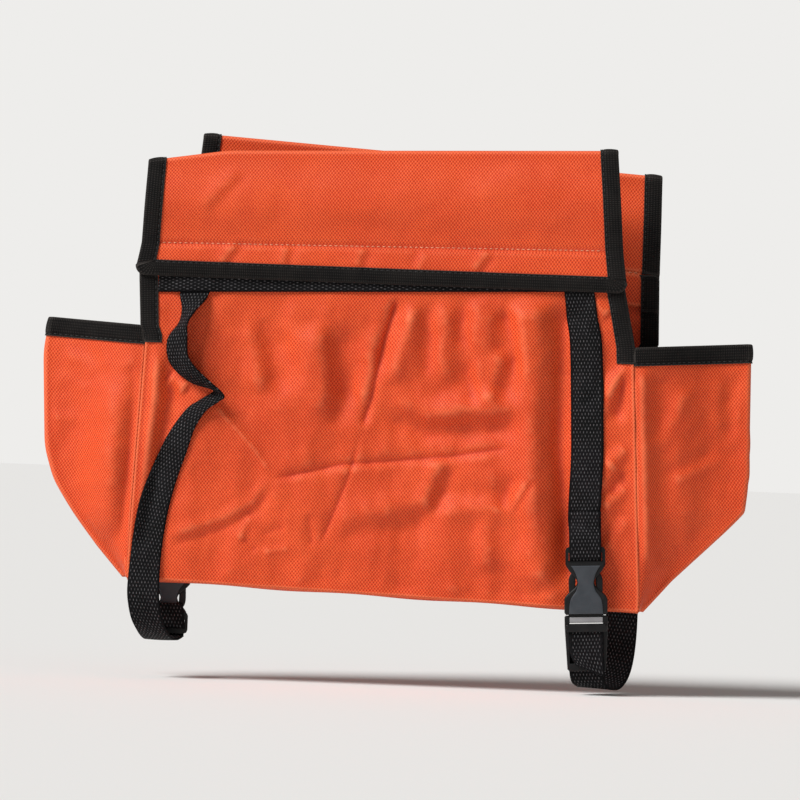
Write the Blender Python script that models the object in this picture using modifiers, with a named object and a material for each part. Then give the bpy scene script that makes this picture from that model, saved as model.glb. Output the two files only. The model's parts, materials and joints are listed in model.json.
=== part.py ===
"""Electrician tool pouch: an open-topped cloth pouch whose two walls end in folded sleeves, with bound
edges, two webbing straps and two side-release buckles.

Metres, +Z up. The origin is the middle of the bottom, and the front wall faces -Y. Heights and widths
are written in millimetres and turned into metres where a mesh or an object is made. "Left" and "right"
are as seen from in front of the pouch.
"""

import math

import bmesh
import bpy
from mathutils import Matrix, Vector

MM = 0.001

# Cloth and tape, in millimetres
CLOTH = 1.0
TAPE = 0.8
GAP = 0.3
BINDING_LEG = 13.0
WEBBING = 1.4
WEBBING_WIDTH = 25.0
TOP_TAPE = 1.2
TOP_TAPE_WIDTH = 25.0

# Half the depth of the pouch at its bottom, at the notch beside the ears, and at the folds
BOTTOM_DEPTH, NOTCH_DEPTH, FOLD_DEPTH = 20.0, 30.0, 26.0
# Heights above which the walls spread, stand widest apart, and end
CORNER_HEIGHT, NOTCH_HEIGHT, FOLD_HEIGHT = 6.0, 190.0, 350.0
# The bottom edge rises this much for each millimetre to the right
BOTTOM_SLOPE = -0.03
HALF_WIDTH = 200.0
# The bottom panel's ends, and how far its long edges stay inside the walls
BOTTOM_ENDS, BOTTOM_MARGIN = (-201.8, 198.8), 1.1

# Ears: the radius of the outer fold, how fast the two layers come together, and the height of the top edge
EAR_FOLD_RADIUS = 3.0
EAR_CLOSING = 1.4
EAR_HEIGHT = 200.0
# The ear's tape stops short of its seams by this share of the edge's end spans
EAR_BINDING_INSET = 0.12

# The sleeve: how far its two layers stand from the wall's own cloth at the stitched line, and their bulge
LAYER_STEP = 2.6
SLEEVE_BULGE_OUT, SLEEVE_BULGE_IN = 5.0, 4.0
SLEEVE_HEIGHT, HEM_HEIGHT = 70.0, 25.0
SLEEVE_COLUMNS = 6
WALL_TUCK = 8.0
SEAM_INSET = 0.5
HEM_FLARE = 3.0
HEM_SPLIT = 0.8
HEM_BINDING_CLEAR = 3.0

# Tape on a wall's free side edge: the height it is measured at, and its gaps to the ear and to the hem
SIDE_TAPE_HEIGHT, SIDE_TAPE_LOW_GAP, SIDE_TAPE_HIGH_GAP = 205.0, 0.5, 2.5
STRAP_TOP_CLEAR = 3.5
REAR_STRAP_CLEAR = 0.6

# Buckles, measured from the mouth of the socket
SOCKET_THICKNESS, FRAME_THICKNESS, PLUG_THICKNESS, ARM_THICKNESS = 8.0, 4.0, 4.6, 4.4
CAVITY_HALF_WIDTH, CAVITY_THICKNESS, CAVITY_DEPTH = 13.9, 5.2, 37.0
SOCKET_BAR = (48.5, 53.0)
PLUG_BAR = (-17.2, -12.2)
ARM_PIVOT = (10.2, 7.5)
ARM_ROOT_RADIUS = 2.2
RIGHT_MOUTH, RIGHT_LEAN = (157.6, -31.5, -8.9), math.radians(-2.9)
LEFT_MOUTH, LEFT_LEAN = (-170.0, 31.0, 15.0), math.radians(180.0)


def between(points, at):
    """The value at a place along straight lines through (place, value) points."""
    for (a, low), (b, high) in zip(points, points[1:]):
        if at <= b or (b, high) == points[-1]:
            return low + (high - low) * (at - a) / (b - a)
    raise ValueError("between needs two points")


def mix(a, b, share):
    return a + (b - a) * share


def half_depth(z):
    """Half the pouch's depth at a height: a parabola through the three depths."""
    low, middle, high = CORNER_HEIGHT, NOTCH_HEIGHT, FOLD_HEIGHT
    z = max(z, low)
    return (
        BOTTOM_DEPTH * (z - middle) * (z - high) / ((low - middle) * (low - high))
        + NOTCH_DEPTH * (z - low) * (z - high) / ((middle - low) * (middle - high))
        + FOLD_DEPTH * (z - low) * (z - middle) / ((high - low) * (high - middle))
    )


def bottom_height(x):
    return BOTTOM_SLOPE * x


class Wall:
    """The front or rear wall. Edges are (height, x) points and seams across it are (x, height) points."""

    def __init__(self, name, side, left, right, ends, fold, stitch, hem, tape):
        self.name, self.side = name, side
        self.left, self.right = left, right
        self.ends = ends
        self.fold, self.stitch, self.hem, self.tape = fold, stitch, hem, tape

    def y(self, z, out=0.0):
        return self.side * (half_depth(z) + out)

    def across(self, level, share):
        """x at a share of the sleeve's width: level is 0 at the hem, 1 at the stitches, 2 at the fold."""
        left = between([(n, end[0]) for n, end in enumerate(self.ends)], level)
        right = between([(n, end[1]) for n, end in enumerate(self.ends)], level)
        return mix(left, right, share)


FRONT = Wall(
    name="front",
    side=-1,
    left=[(6, -203), (200, -194), (290, -199)],
    right=[(-6, 200), (200, 187), (290, 180)],
    ends=[(-202, 178), (-198, 174), (-195, 167)],
    fold=[(-195, 332), (-153, 341), (167, 353)],
    stitch=[(-198, 269), (174, 276)],
    hem=[(-202, 244), (178, 244)],
    tape=[(-181, 230), (160, 243)],
)
REAR = Wall(
    name="rear",
    side=1,
    left=[(6, -203), (200, -178), (290, -166)],
    right=[(-6, 200), (200, 203), (290, 202)],
    ends=[(-166, 202), (-162, 202), (-154, 205)],
    fold=[(-154, 356), (205, 336)],
    stitch=[(-162, 281), (202, 260)],
    hem=[(-166, 253), (202, 232)],
    tape=[(-158, 240), (187, 220)],
)

# Each ear: its outer fold as (height, x) points, and its top edge as (x, height) points
LEFT_EAR = {
    "name": "left",
    "out": -1,
    "crease": [(6, -207), (72, -260), (102, -270), (180, -274), (206, -269)],
    "top": [(-269, 206), (-178, 201)],
}
RIGHT_EAR = {
    "name": "right",
    "out": 1,
    "crease": [(-6, 205), (84, 271), (108, 281), (206, 279)],
    "top": [(187, 199), (279, 205.5)],
}

ORANGE = (0.76, 0.075, 0.02)
BLACK = (0.012, 0.012, 0.013)
LOOKS = {
    "cloth": (ORANGE, 0.6),
    "binding": (BLACK, 0.85),
    "webbing": ((0.015, 0.015, 0.017), 0.75),
    "plastic": ((0.02, 0.021, 0.024), 0.42),
}


def dress(obj, look):
    """Give a piece its own material."""
    colour, roughness = LOOKS[look]
    material = bpy.data.materials.new(f"{obj.name}_{look}")
    material.use_nodes = True
    shader = material.node_tree.nodes["Principled BSDF"]
    shader.inputs["Base Color"].default_value = (*colour, 1.0)
    shader.inputs["Roughness"].default_value = roughness
    shader.inputs["Metallic"].default_value = 0.0
    obj.data.materials.clear()
    obj.data.materials.append(material)


def hang(obj, parent):
    """Parent a piece without moving it."""
    bpy.context.view_layer.update()
    obj.parent = parent
    obj.matrix_parent_inverse = parent.matrix_world.inverted()


def axis_empty(name, matrix, parent=None):
    """An empty that stands on a joint's axis."""
    empty = bpy.data.objects.new(name, None)
    parts.objects.link(empty)
    empty.matrix_world = matrix
    if parent:
        hang(empty, parent)
    bpy.context.view_layer.update()
    return empty


def sheet(name, rows, thickness, look, parent):
    """A soft sheet through rows of points in millimetres, thickened evenly about them."""
    columns = len(rows[0])
    bm = bmesh.new()
    bmesh.ops.create_grid(bm, x_segments=columns - 1, y_segments=len(rows) - 1, size=1.0)
    for vert in bm.verts:
        column = round((vert.co.x + 1) / 2 * (columns - 1))
        row = round((vert.co.y + 1) / 2 * (len(rows) - 1))
        vert.co = Vector(rows[row][column]) * MM
    mesh = bpy.data.meshes.new(name)
    bm.to_mesh(mesh)
    bm.free()
    mesh.shade_smooth()
    obj = bpy.data.objects.new(name, mesh)
    parts.objects.link(obj)
    solid = obj.modifiers.new("thickness", "SOLIDIFY")
    solid.thickness = thickness * MM
    solid.offset = 0.0
    solid.use_even_offset = True
    dress(obj, look)
    hang(obj, parent)
    return obj


def channel(name, stations, parent, leg=BINDING_LEG):
    """Tape folded over a cloth edge. A station is (edge point, direction into the cloth, cloth normal)."""
    wrap = GAP + TAPE / 2
    stand_off = CLOTH / 2 + GAP + TAPE / 2
    rows = []
    for point, into, normal in stations:
        point, into, normal = Vector(point), Vector(into), Vector(normal)
        over = point - into * wrap
        deep = point + into * leg
        lift = normal * stand_off
        rows.append([deep + lift, over + lift, over - lift, deep - lift])
    return sheet(name, rows, TAPE, "binding", parent)


def ribbon(name, path, parent, width=WEBBING_WIDTH, thickness=WEBBING):
    """Webbing along a path, its width kept as near to the X direction as the path allows."""
    rows = []
    for n, point in enumerate(path):
        before, after = path[max(n - 1, 0)], path[min(n + 1, len(path) - 1)]
        along = (Vector(after) - Vector(before)).normalized()
        side = (Vector((1, 0, 0)) - along * along.x).normalized() * width / 2
        rows.append([Vector(point) - side, Vector(point) + side])
    return sheet(name, rows, thickness, "webbing", parent)


# ---- Cloth ----


def wall_panel(wall, parent, columns=6):
    """The wall's own cloth, from the bottom edge to just above the stitched line inside the sleeve."""
    tops = [between(wall.stitch, x) + WALL_TUCK for x in (-HALF_WIDTH, HALF_WIDTH)]
    levels = [(CORNER_HEIGHT, -CORNER_HEIGHT)] + [(z, z) for z in range(40, 241, 40)] + [tuple(tops)]
    grid = []
    for left_z, right_z in levels:
        left = between(wall.left, left_z) + SEAM_INSET
        right = between(wall.right, right_z) - SEAM_INSET
        line = []
        for column in range(columns + 1):
            x = mix(left, right, column / columns)
            z = mix(left_z, right_z, column / columns)
            line.append((x, wall.y(z), z))
        grid.append(line)
    return sheet(f"{wall.name}_panel", grid, CLOTH, "cloth", parent)


def sleeve_profile(arc_steps=4, wall_steps=5):
    """(level, rise above the straight layer, offset from the wall) along the sleeve's folded section."""
    start = HEM_SPLIT / SLEEVE_HEIGHT
    outer = [mix(start, 1, n / wall_steps) for n in range(wall_steps + 1)]
    points = [(1 + h, 0.0, LAYER_STEP + SLEEVE_BULGE_OUT * math.sin(math.pi * h) ** 2) for h in outer]
    for n in range(1, arc_steps):
        turn = math.pi * n / arc_steps
        points.append((2, LAYER_STEP * math.sin(turn), LAYER_STEP * math.cos(turn)))
    inner = [mix(1, 0, n / wall_steps) for n in range(wall_steps + 1)]
    points += [(1 + h, 0.0, -LAYER_STEP - SLEEVE_BULGE_IN * math.sin(math.pi * h) ** 2) for h in inner]
    points.append((0, 0.0, -LAYER_STEP))
    return points


def sleeve_point(wall, level, rise, out, share):
    """A point of the sleeve, at a level of 0 at the hem's height, 1 at the stitches and 2 at the fold."""
    x = wall.across(level, share)
    if level < 1:
        z = mix(between(wall.hem, x), between(wall.stitch, x), level)
    else:
        z = mix(between(wall.stitch, x), between(wall.fold, x) - LAYER_STEP, level - 1) + rise
    return (x, wall.y(z, out), z)


def sleeve(wall, parent):
    """The folded sleeve: outer layer, fold, and the inner layer that lines the top of the wall."""
    shares = [column / SLEEVE_COLUMNS for column in range(SLEEVE_COLUMNS + 1)]
    grid = [[sleeve_point(wall, *place, share) for share in shares] for place in sleeve_profile()]
    return sheet(f"{wall.name}_band", grid, CLOTH, "cloth", parent)


def sleeve_end_binding(wall, share, parent):
    """Tape over one open end of the sleeve, following its fold."""
    inner = abs(share - 1 / SLEEVE_COLUMNS)
    edge = [Vector(sleeve_point(wall, *place, share)) for place in sleeve_profile()]
    beside = [Vector(sleeve_point(wall, *place, inner)) for place in sleeve_profile()]
    stations = []
    for n, point in enumerate(edge):
        along = (edge[min(n + 1, len(edge) - 1)] - edge[max(n - 1, 0)]).normalized()
        into = (beside[n] - point).normalized()
        normal = along.cross(into).normalized()
        stations.append((point, into, normal))
    side = "left" if share == 0 else "right"
    return channel(f"{wall.name}_{side}_band_binding", stations, parent)


def hem_point(wall, drop, share):
    """A point of the free hem: drop is 0 at the stitched line and 1 at the hem's lower edge."""
    x = wall.across(1 - drop, share)
    z = mix(between(wall.stitch, x) - HEM_SPLIT, between(wall.hem, x), drop)
    return (x, wall.y(z, LAYER_STEP + HEM_FLARE * drop), z)


def hem(wall, parent, columns=6, rows=3):
    shares = [column / columns for column in range(columns + 1)]
    grid = [[hem_point(wall, row / rows, share) for share in shares] for row in range(rows + 1)]
    return sheet(f"{wall.name}_hem", grid, CLOTH, "cloth", parent)


def hem_binding(wall, parent, columns=6):
    """Tape down the hem's left end, along its lower edge and up its right end, mitred at the corners."""
    top = HEM_BINDING_CLEAR / HEM_HEIGHT
    outward = Vector((0, wall.side, 0))
    up = (Vector(hem_point(wall, 0, 0.5)) - Vector(hem_point(wall, 1, 0.5))).normalized()
    right = (Vector(hem_point(wall, 1, 1)) - Vector(hem_point(wall, 1, 0))).normalized()
    stations = [(hem_point(wall, top, 0), right, outward), (hem_point(wall, 1, 0), right + up, outward)]
    for column in range(1, columns):
        stations.append((hem_point(wall, 1, column / columns), up, outward))
    stations += [(hem_point(wall, 1, 1), up - right, outward), (hem_point(wall, top, 1), -right, outward)]
    return channel(f"{wall.name}_hem_binding", stations, parent)


def side_binding(wall, left, parent, rows=3):
    """Tape down the wall's free side edge, between the sleeve and the ear."""
    edge = wall.left if left else wall.right
    into = Vector((1 if left else -1, 0, 0))
    inset = SEAM_INSET if left else -SEAM_INSET
    x = between(edge, SIDE_TAPE_HEIGHT)
    low = ear_top(LEFT_EAR if left else RIGHT_EAR, x) + SIDE_TAPE_LOW_GAP
    high = min(between(wall.hem, x), between(wall.hem, -x)) - SIDE_TAPE_HIGH_GAP
    stations = []
    for row in range(rows + 1):
        z = mix(low, high, row / rows)
        stations.append(((between(edge, z) + inset, wall.y(z), z), into, (0, wall.side, 0)))
    side = "left" if left else "right"
    return channel(f"{wall.name}_{side}_side_binding", stations, parent)


def top_tape(wall, parent, columns=6):
    """Webbing sewn across the wall under the sleeve, above the straps' top ends."""
    ends = wall.tape[0][0], wall.tape[-1][0]
    offset = CLOTH / 2 + GAP + TOP_TAPE / 2
    grid = []
    for lift in (0, TOP_TAPE_WIDTH / 2, TOP_TAPE_WIDTH):
        line = []
        for column in range(columns + 1):
            x = mix(*ends, column / columns)
            z = between(wall.tape, x) + lift
            line.append((x, wall.y(z, offset), z))
        grid.append(line)
    return sheet(f"{wall.name}_top_tape", grid, TOP_TAPE, "webbing", parent)


def bottom_panel(parent, columns=6):
    grid = []
    for y in (-BOTTOM_DEPTH + BOTTOM_MARGIN, BOTTOM_DEPTH - BOTTOM_MARGIN):
        xs = [mix(*BOTTOM_ENDS, column / columns) for column in range(columns + 1)]
        grid.append([(x, y, bottom_height(x)) for x in xs])
    return sheet("bottom_panel", grid, CLOTH, "cloth", parent)


def ear_top(ear, x):
    return between(ear["top"], x)


def ear_section(ear, z, steps=3, arc_steps=4):
    """(x, y) points round an ear at one height, from its front seam round the fold to its rear seam."""
    out = ear["out"]
    centre = between(ear["crease"], z) - out * EAR_FOLD_RADIUS
    halves = []
    for wall in (FRONT, REAR):
        seam = between(wall.left if out < 0 else wall.right, z) + out * GAP
        half = []
        for n in range(steps + 1):
            share = n / steps
            spread = (half_depth(z) - EAR_FOLD_RADIUS) * (1 - share) ** EAR_CLOSING
            half.append((mix(seam, centre, share), wall.side * (EAR_FOLD_RADIUS + spread)))
        halves.append(half)
    arc = []
    for n in range(1, arc_steps):
        turn = math.pi * n / arc_steps
        arc.append((centre + out * EAR_FOLD_RADIUS * math.sin(turn), -EAR_FOLD_RADIUS * math.cos(turn)))
    return halves[0] + arc + halves[1][::-1]


def gusset(ear, parent, rows=8):
    """One side wall, folded outwards into a flat ear, with tape round its top edge."""
    bottom = bottom_height(HALF_WIDTH * ear["out"])
    grid = []
    for row in range(rows + 1):
        section = ear_section(ear, mix(bottom, EAR_HEIGHT, row / rows))
        grid.append([(x, y, mix(bottom, ear_top(ear, x), row / rows)) for x, y in section])
    sheet(f"{ear['name']}_gusset", grid, CLOTH, "cloth", parent)
    edge, below = ([Vector(point) for point in line] for line in (grid[-1], grid[-2]))
    for line in (edge, below):
        line[0] = line[0].lerp(line[1], EAR_BINDING_INSET)
        line[-1] = line[-1].lerp(line[-2], EAR_BINDING_INSET)
    stations = []
    for n, point in enumerate(edge):
        along = edge[min(n + 1, len(edge) - 1)] - edge[max(n - 1, 0)]
        into = (below[n] - point).normalized()
        stations.append((point, into, along.cross(into).normalized()))
    channel(f"{ear['name']}_gusset_binding", stations, parent)


# ---- Buckles, drawn in X (across) and Z (along) with the socket's mouth at the origin ----


def mirrored(half):
    """A closed outline from its right half, listed from the lowest point to the highest."""
    return half + [(-x, z) for x, z in reversed(half) if x > 0]


def plate(name, outlines, thickness, look="plastic"):
    """A flat plate of a given thickness in Y, from an outline and the outlines of its holes."""
    curve = bpy.data.curves.new(name, "CURVE")
    curve.dimensions = "2D"
    curve.fill_mode = "BOTH"
    curve.extrude = thickness / 2 * MM
    for outline in outlines:
        spline = curve.splines.new("POLY")
        spline.points.add(len(outline) - 1)
        for point, (x, z) in zip(spline.points, outline):
            point.co = (x * MM, z * MM, 0, 1)
        spline.use_cyclic_u = True
    drawn = bpy.data.objects.new(name, curve)
    parts.objects.link(drawn)
    drawn.rotation_euler.x = math.radians(90)
    bpy.context.view_layer.update()
    mesh = bpy.data.meshes.new_from_object(drawn.evaluated_get(bpy.context.evaluated_depsgraph_get()))
    mesh.transform(drawn.matrix_world)
    bpy.data.objects.remove(drawn)
    bm = bmesh.new()
    bm.from_mesh(mesh)
    bmesh.ops.remove_doubles(bm, verts=bm.verts, dist=1e-6)
    bm.to_mesh(mesh)
    bm.free()
    obj = bpy.data.objects.new(name, mesh)
    parts.objects.link(obj)
    dress(obj, look)
    return obj


def box_cutter(name, size, centre, matrix, parent):
    """A box that is cut out of another piece."""
    bm = bmesh.new()
    bmesh.ops.create_cube(bm, size=1.0)
    bmesh.ops.scale(bm, vec=Vector(size) * MM, verts=bm.verts)
    bmesh.ops.translate(bm, vec=Vector(centre) * MM, verts=bm.verts)
    mesh = bpy.data.meshes.new(name)
    bm.to_mesh(mesh)
    bm.free()
    cutter = bpy.data.objects.new(name, mesh)
    cutters.objects.link(cutter)
    cutter.matrix_world = matrix
    cutter.hide_render = True
    cutter.display_type = "WIRE"
    hang(cutter, parent)
    return cutter


def rounded(x, low, high, radius):
    """Right half of a rectangle from low to high with rounded corners."""
    corner = radius * (1 - math.sqrt(0.5))
    return [
        (x - radius, low),
        (x - corner, low + corner),
        (x, low + radius),
        (x, high - radius),
        (x - corner, high - corner),
        (x - radius, high),
    ]


def waist(z):
    """Half-width of the socket's body: a wide mouth, a narrow waist, and wider shoulders."""
    mouth, narrow, shoulder = 16.8, 6.5, 14.5
    low, middle, high = 12.0, 25.0, 38.0
    if z <= low or z >= high:
        return mouth if z <= low else shoulder
    wide, edge = (mouth, low) if z < middle else (shoulder, high)
    share = abs(z - middle) / abs(edge - middle)
    return mix(narrow, wide, share * share * (3 - 2 * share))


def socket(name, matrix, parent):
    """The female half: a waisted body, open at the sides, with a loop bar for the webbing."""
    steps = 12
    heights = [1.5, 6.0] + [mix(12, 38, n / steps) for n in range(steps + 1)] + [41.0]
    half = [(15.6, 0.0)] + [(waist(z), z) for z in heights]
    body = plate(name, [mirrored(half)], SOCKET_THICKNESS)
    slot = rounded(13.0, 41.8, SOCKET_BAR[0], 0.6)
    frame = rounded(15.5, 36.0, SOCKET_BAR[1], 3.0)
    loop = plate(f"{name}_loop", [mirrored(frame), mirrored(slot)], FRAME_THICKNESS)
    parts.objects.unlink(loop)
    cutters.objects.link(loop)
    loop.hide_render = True
    loop.display_type = "WIRE"
    size = (2 * CAVITY_HALF_WIDTH, CAVITY_THICKNESS, CAVITY_DEPTH + 5)
    cavity = box_cutter(f"{name}_cavity", size, (0, 0, CAVITY_DEPTH - size[2] / 2), matrix, parent)
    for piece in (body, loop):
        piece.matrix_world = matrix
        hang(piece, parent)
    edges = body.modifiers.new("rounded edges", "BEVEL")
    edges.width = 0.9 * MM
    edges.segments = 2
    edges.limit_method = "ANGLE"
    edges.angle_limit = math.radians(60)
    join = body.modifiers.new("loop frame", "BOOLEAN")
    join.operation = "UNION"
    join.object = loop
    cut = body.modifiers.new("cavity", "BOOLEAN")
    cut.operation = "DIFFERENCE"
    cut.object = cavity
    return body


def plug(name, matrix, parent):
    """The male half: a guide tongue, a stop shoulder, and a ladder-lock frame with two openings."""
    outline = [
        (13.5, -44.0),
        (15.0, -42.5),
        (16.8, -9.0),
        (16.8, -1.6),
        (15.8, -0.6),
        (13.4, -0.6),
        (13.4, 5.0),
        (2.2, 5.0),
        (2.2, 21.0),
        (1.2, 22.0),
    ]
    upper = rounded(13.1, PLUG_BAR[1], -6.2, 0.5)
    lower = rounded(13.1, -38.0, PLUG_BAR[0], 0.5)
    body = plate(name, [mirrored(outline), mirrored(upper), mirrored(lower)], PLUG_THICKNESS)
    body.matrix_world = matrix
    hang(body, parent)
    edges = body.modifiers.new("rounded edges", "BEVEL")
    edges.width = 0.6 * MM
    edges.segments = 2
    edges.limit_method = "ANGLE"
    edges.angle_limit = math.radians(60)
    return body


def latch_arm(name, side, matrix, parent):
    """A springing latch arm, its origin on its pivot. side is 1 for +X and -1 for -X."""
    px, pz = ARM_PIVOT
    steps = 6
    root = [math.pi * (1 + n / steps) for n in range(steps + 1)]
    outline = [(px + ARM_ROOT_RADIUS * math.cos(a), pz + ARM_ROOT_RADIUS * math.sin(a)) for a in root]
    outline += [(13.1, 14.0), (13.3, 17.0), (13.85, 20.0), (14.6, 24.0), (15.3, 27.0)]
    outline += [(15.2, 29.0), (14.2, 31.5), (12.6, 33.6), (11.2, 34.0), (10.3, 33.2)]
    outline += [(10.6, 27.0), (9.7, 20.0), (9.0, 14.0)]
    shape = [(side * (x - px), z - pz) for x, z in outline]
    arm = plate(name, [shape], ARM_THICKNESS)
    arm.matrix_world = matrix @ Matrix.Translation(Vector((side * px, 0, pz)) * MM)
    hang(arm, parent)
    return arm


def buckle(name, mouth, lean, fixed, sliding, plug_slides):
    """Both halves of a buckle and its arms. Returns the placement of its drawing."""
    matrix = Matrix.Translation(Vector(mouth) * MM) @ Matrix.Rotation(lean, 4, "Y")
    plug_parent, socket_parent = (sliding, fixed) if plug_slides else (fixed, sliding)
    socket(f"{name}_socket", matrix, socket_parent)
    plug(f"{name}_plug", matrix, plug_parent)
    latch_arm(f"{name}_plug_left_arm", -1, matrix, plug_parent)
    latch_arm(f"{name}_plug_right_arm", 1, matrix, plug_parent)
    return matrix


# ---- Straps ----


def round_bar(matrix, bar, half_thickness, from_above, lead, tail, steps=6):
    """Webbing round a buckle's bar: down behind it on the lead side, round, and back in front as a tail.

    bar is the bar's (low, high) in the buckle's drawing. from_above says that the webbing comes from +Z.
    """
    radius = half_thickness + GAP + WEBBING / 2
    ease = 0.3
    up = 1 if from_above else -1
    near = bar[0] + ease if from_above else bar[1] - ease
    points = [(radius, near + up * lead)]
    for n in range(steps + 1):
        turn = math.pi * n / steps
        points.append((radius * math.cos(turn), near - up * radius * math.sin(turn)))
    points.append((-radius, near + up * tail))
    return [(matrix @ (Vector((0, y, z)) * MM)) / MM for y, z in points]


def right_front_strap(matrix, parent):
    """Down the front wall to the socket's loop bar, with its end sewn back up in front."""
    off = CLOTH / 2 + GAP + WEBBING / 2
    top = between(FRONT.tape, 146) - STRAP_TOP_CLEAR
    path = [(146, FRONT.y(top, off), top)]
    for share in (0.25, 0.5, 0.75, 1.0):
        z = mix(top, 92, share)
        path.append((mix(146, 152.5, share), FRONT.y(z, off), z))
    sewn, spread = 1.1, 60.0
    for y, z in ((sewn, 79.0), (sewn, spread)):
        path.append((matrix @ (Vector((0, y, z)) * MM)) / MM)
    loop = round_bar(matrix, SOCKET_BAR, FRAME_THICKNESS / 2, True, 5.0, 5.0)
    path += loop
    for y, z in ((-sewn, spread), (-sewn, 78.0)):
        path.append((matrix @ (Vector((0, y, z)) * MM)) / MM)
    return ribbon("right_front_strap", path, parent)


def right_rear_strap(matrix, parent):
    """Down the rear wall, under the bottom, and up through the ladder lock of the right plug."""
    off = CLOTH / 2 + GAP + WEBBING / 2
    top = between(REAR.tape, 150) - STRAP_TOP_CLEAR
    path = []
    for x, z in ((150, top), (156, 180), (166, 130), (176, 80), (184, 35), (187, 0)):
        path.append((x, REAR.y(z, off + REAR_STRAP_CLEAR), z))
    path += [(187, 24, -28), (184, 17, -50), (178, 5, -63), (171, -9, -67), (164.5, -21.5, -65)]
    loop = round_bar(matrix, PLUG_BAR, PLUG_THICKNESS / 2, False, 35.0, 27.0)
    return ribbon("right_rear_strap", path + loop, parent)


def left_rear_strap(matrix, parent):
    """Down the rear wall to the ladder lock of the left plug."""
    off = CLOTH / 2 + GAP + WEBBING / 2
    top = between(REAR.tape, -141) - STRAP_TOP_CLEAR
    path = []
    for x, z in ((-141, top), (-147, 190), (-157, 145), (-165, 105)):
        path.append((x, REAR.y(z, off + REAR_STRAP_CLEAR), z))
    loop = round_bar(matrix, PLUG_BAR, PLUG_THICKNESS / 2, False, 42.0, 27.0)
    return ribbon("left_rear_strap", path + loop, parent)


def left_front_strap(matrix, parent):
    """Down the front wall with a slack bend, under the bottom, and round the left socket's loop bar."""
    off = CLOTH / 2 + GAP + WEBBING / 2
    top = between(FRONT.tape, -160) - STRAP_TOP_CLEAR
    path = []
    slack = ((-160, top), (-163, 210), (-162, 190), (-154, 170), (-150, 155), (-156, 138), (-168, 115))
    for x, z in slack + ((-179, 90), (-186, 60), (-189, 30), (-188, 5)):
        path.append((x, FRONT.y(z, off), z))
    path += [(-186, -21, -15), (-182, -14, -31), (-178, 0, -39), (-174, 14, -42)]
    bar_y, bar_z = LEFT_MOUTH[1], LEFT_MOUTH[2] - sum(SOCKET_BAR) / 2
    corner = math.hypot((SOCKET_BAR[1] - SOCKET_BAR[0]) / 2, FRAME_THICKNESS / 2)
    reach = corner + GAP + WEBBING / 2
    steps = 6
    for n in range(steps + 1):
        turn = math.pi * (n / steps - 0.5)
        path.append((-170, bar_y + reach * math.cos(turn), bar_z + reach * math.sin(turn)))
    path += [(-170, bar_y - 3.5, bar_z + 3.6), (-171, bar_y - 10, bar_z - 0.6)]
    path += [(-174, 14, -39), (-177, 4, -37)]
    return ribbon("left_front_strap", path, parent)


# ---- Assembly ----


def clear_scene():
    for obj in list(bpy.data.objects):
        bpy.data.objects.remove(obj, do_unlink=True)


def collection(name):
    made = bpy.data.collections.new(name)
    bpy.context.scene.collection.children.link(made)
    return made


def build_wall(wall, parent):
    wall_panel(wall, parent)
    sleeve(wall, parent)
    top_tape(wall, parent)
    for share in (0, 1):
        sleeve_end_binding(wall, share, parent)
        side_binding(wall, share == 0, parent)
    x = wall.across(1, 0)
    z = between(wall.stitch, x)
    start = Vector((x, wall.y(z, LAYER_STEP), z)) * MM
    hem_axis = axis_empty(f"{wall.name}_hem_axis", Matrix.Translation(start), parent)
    hem(wall, hem_axis)
    hem_binding(wall, hem_axis)


def build():
    pouch = axis_empty("pouch", Matrix.Identity(4))
    edge = Matrix.Translation(Vector((0, -BOTTOM_DEPTH, 0)) * MM)
    tilt = Matrix.Rotation(math.atan(-BOTTOM_SLOPE), 4, "Y")
    front = axis_empty("front_opening_axis", edge @ tilt, pouch)
    build_wall(FRONT, front)
    build_wall(REAR, pouch)
    bottom_panel(pouch)
    for ear in (LEFT_EAR, RIGHT_EAR):
        gusset(ear, pouch)
    right_slide = axis_empty("right_release_axis", Matrix.Translation(Vector(RIGHT_MOUTH) * MM), front)
    right = buckle("right", RIGHT_MOUTH, RIGHT_LEAN, front, right_slide, plug_slides=False)
    left_slide = axis_empty("left_release_axis", Matrix.Translation(Vector(LEFT_MOUTH) * MM), pouch)
    left = buckle("left", LEFT_MOUTH, LEFT_LEAN, pouch, left_slide, plug_slides=True)
    right_front_strap(right, front)
    right_rear_strap(right, pouch)
    left_front_strap(left, front)
    left_rear_strap(left, pouch)


clear_scene()
parts = collection("electrician_tool_pouch")
cutters = collection("cutters")
build()
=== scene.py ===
"""Looks for the electrician tool pouch: woven cloth, bound edges, webbing, thread and moulded buckles,
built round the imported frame.

Shapes are worked out in millimetres, in the frame's own axes, and turned into metres where a mesh is
made. "Out" is away from the middle of the pouch: towards -Y on the front wall and +Y on the rear wall.
"""

import json
import math

import bmesh
import bpy
import numpy as np
from mathutils import Matrix, Vector, noise


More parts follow.
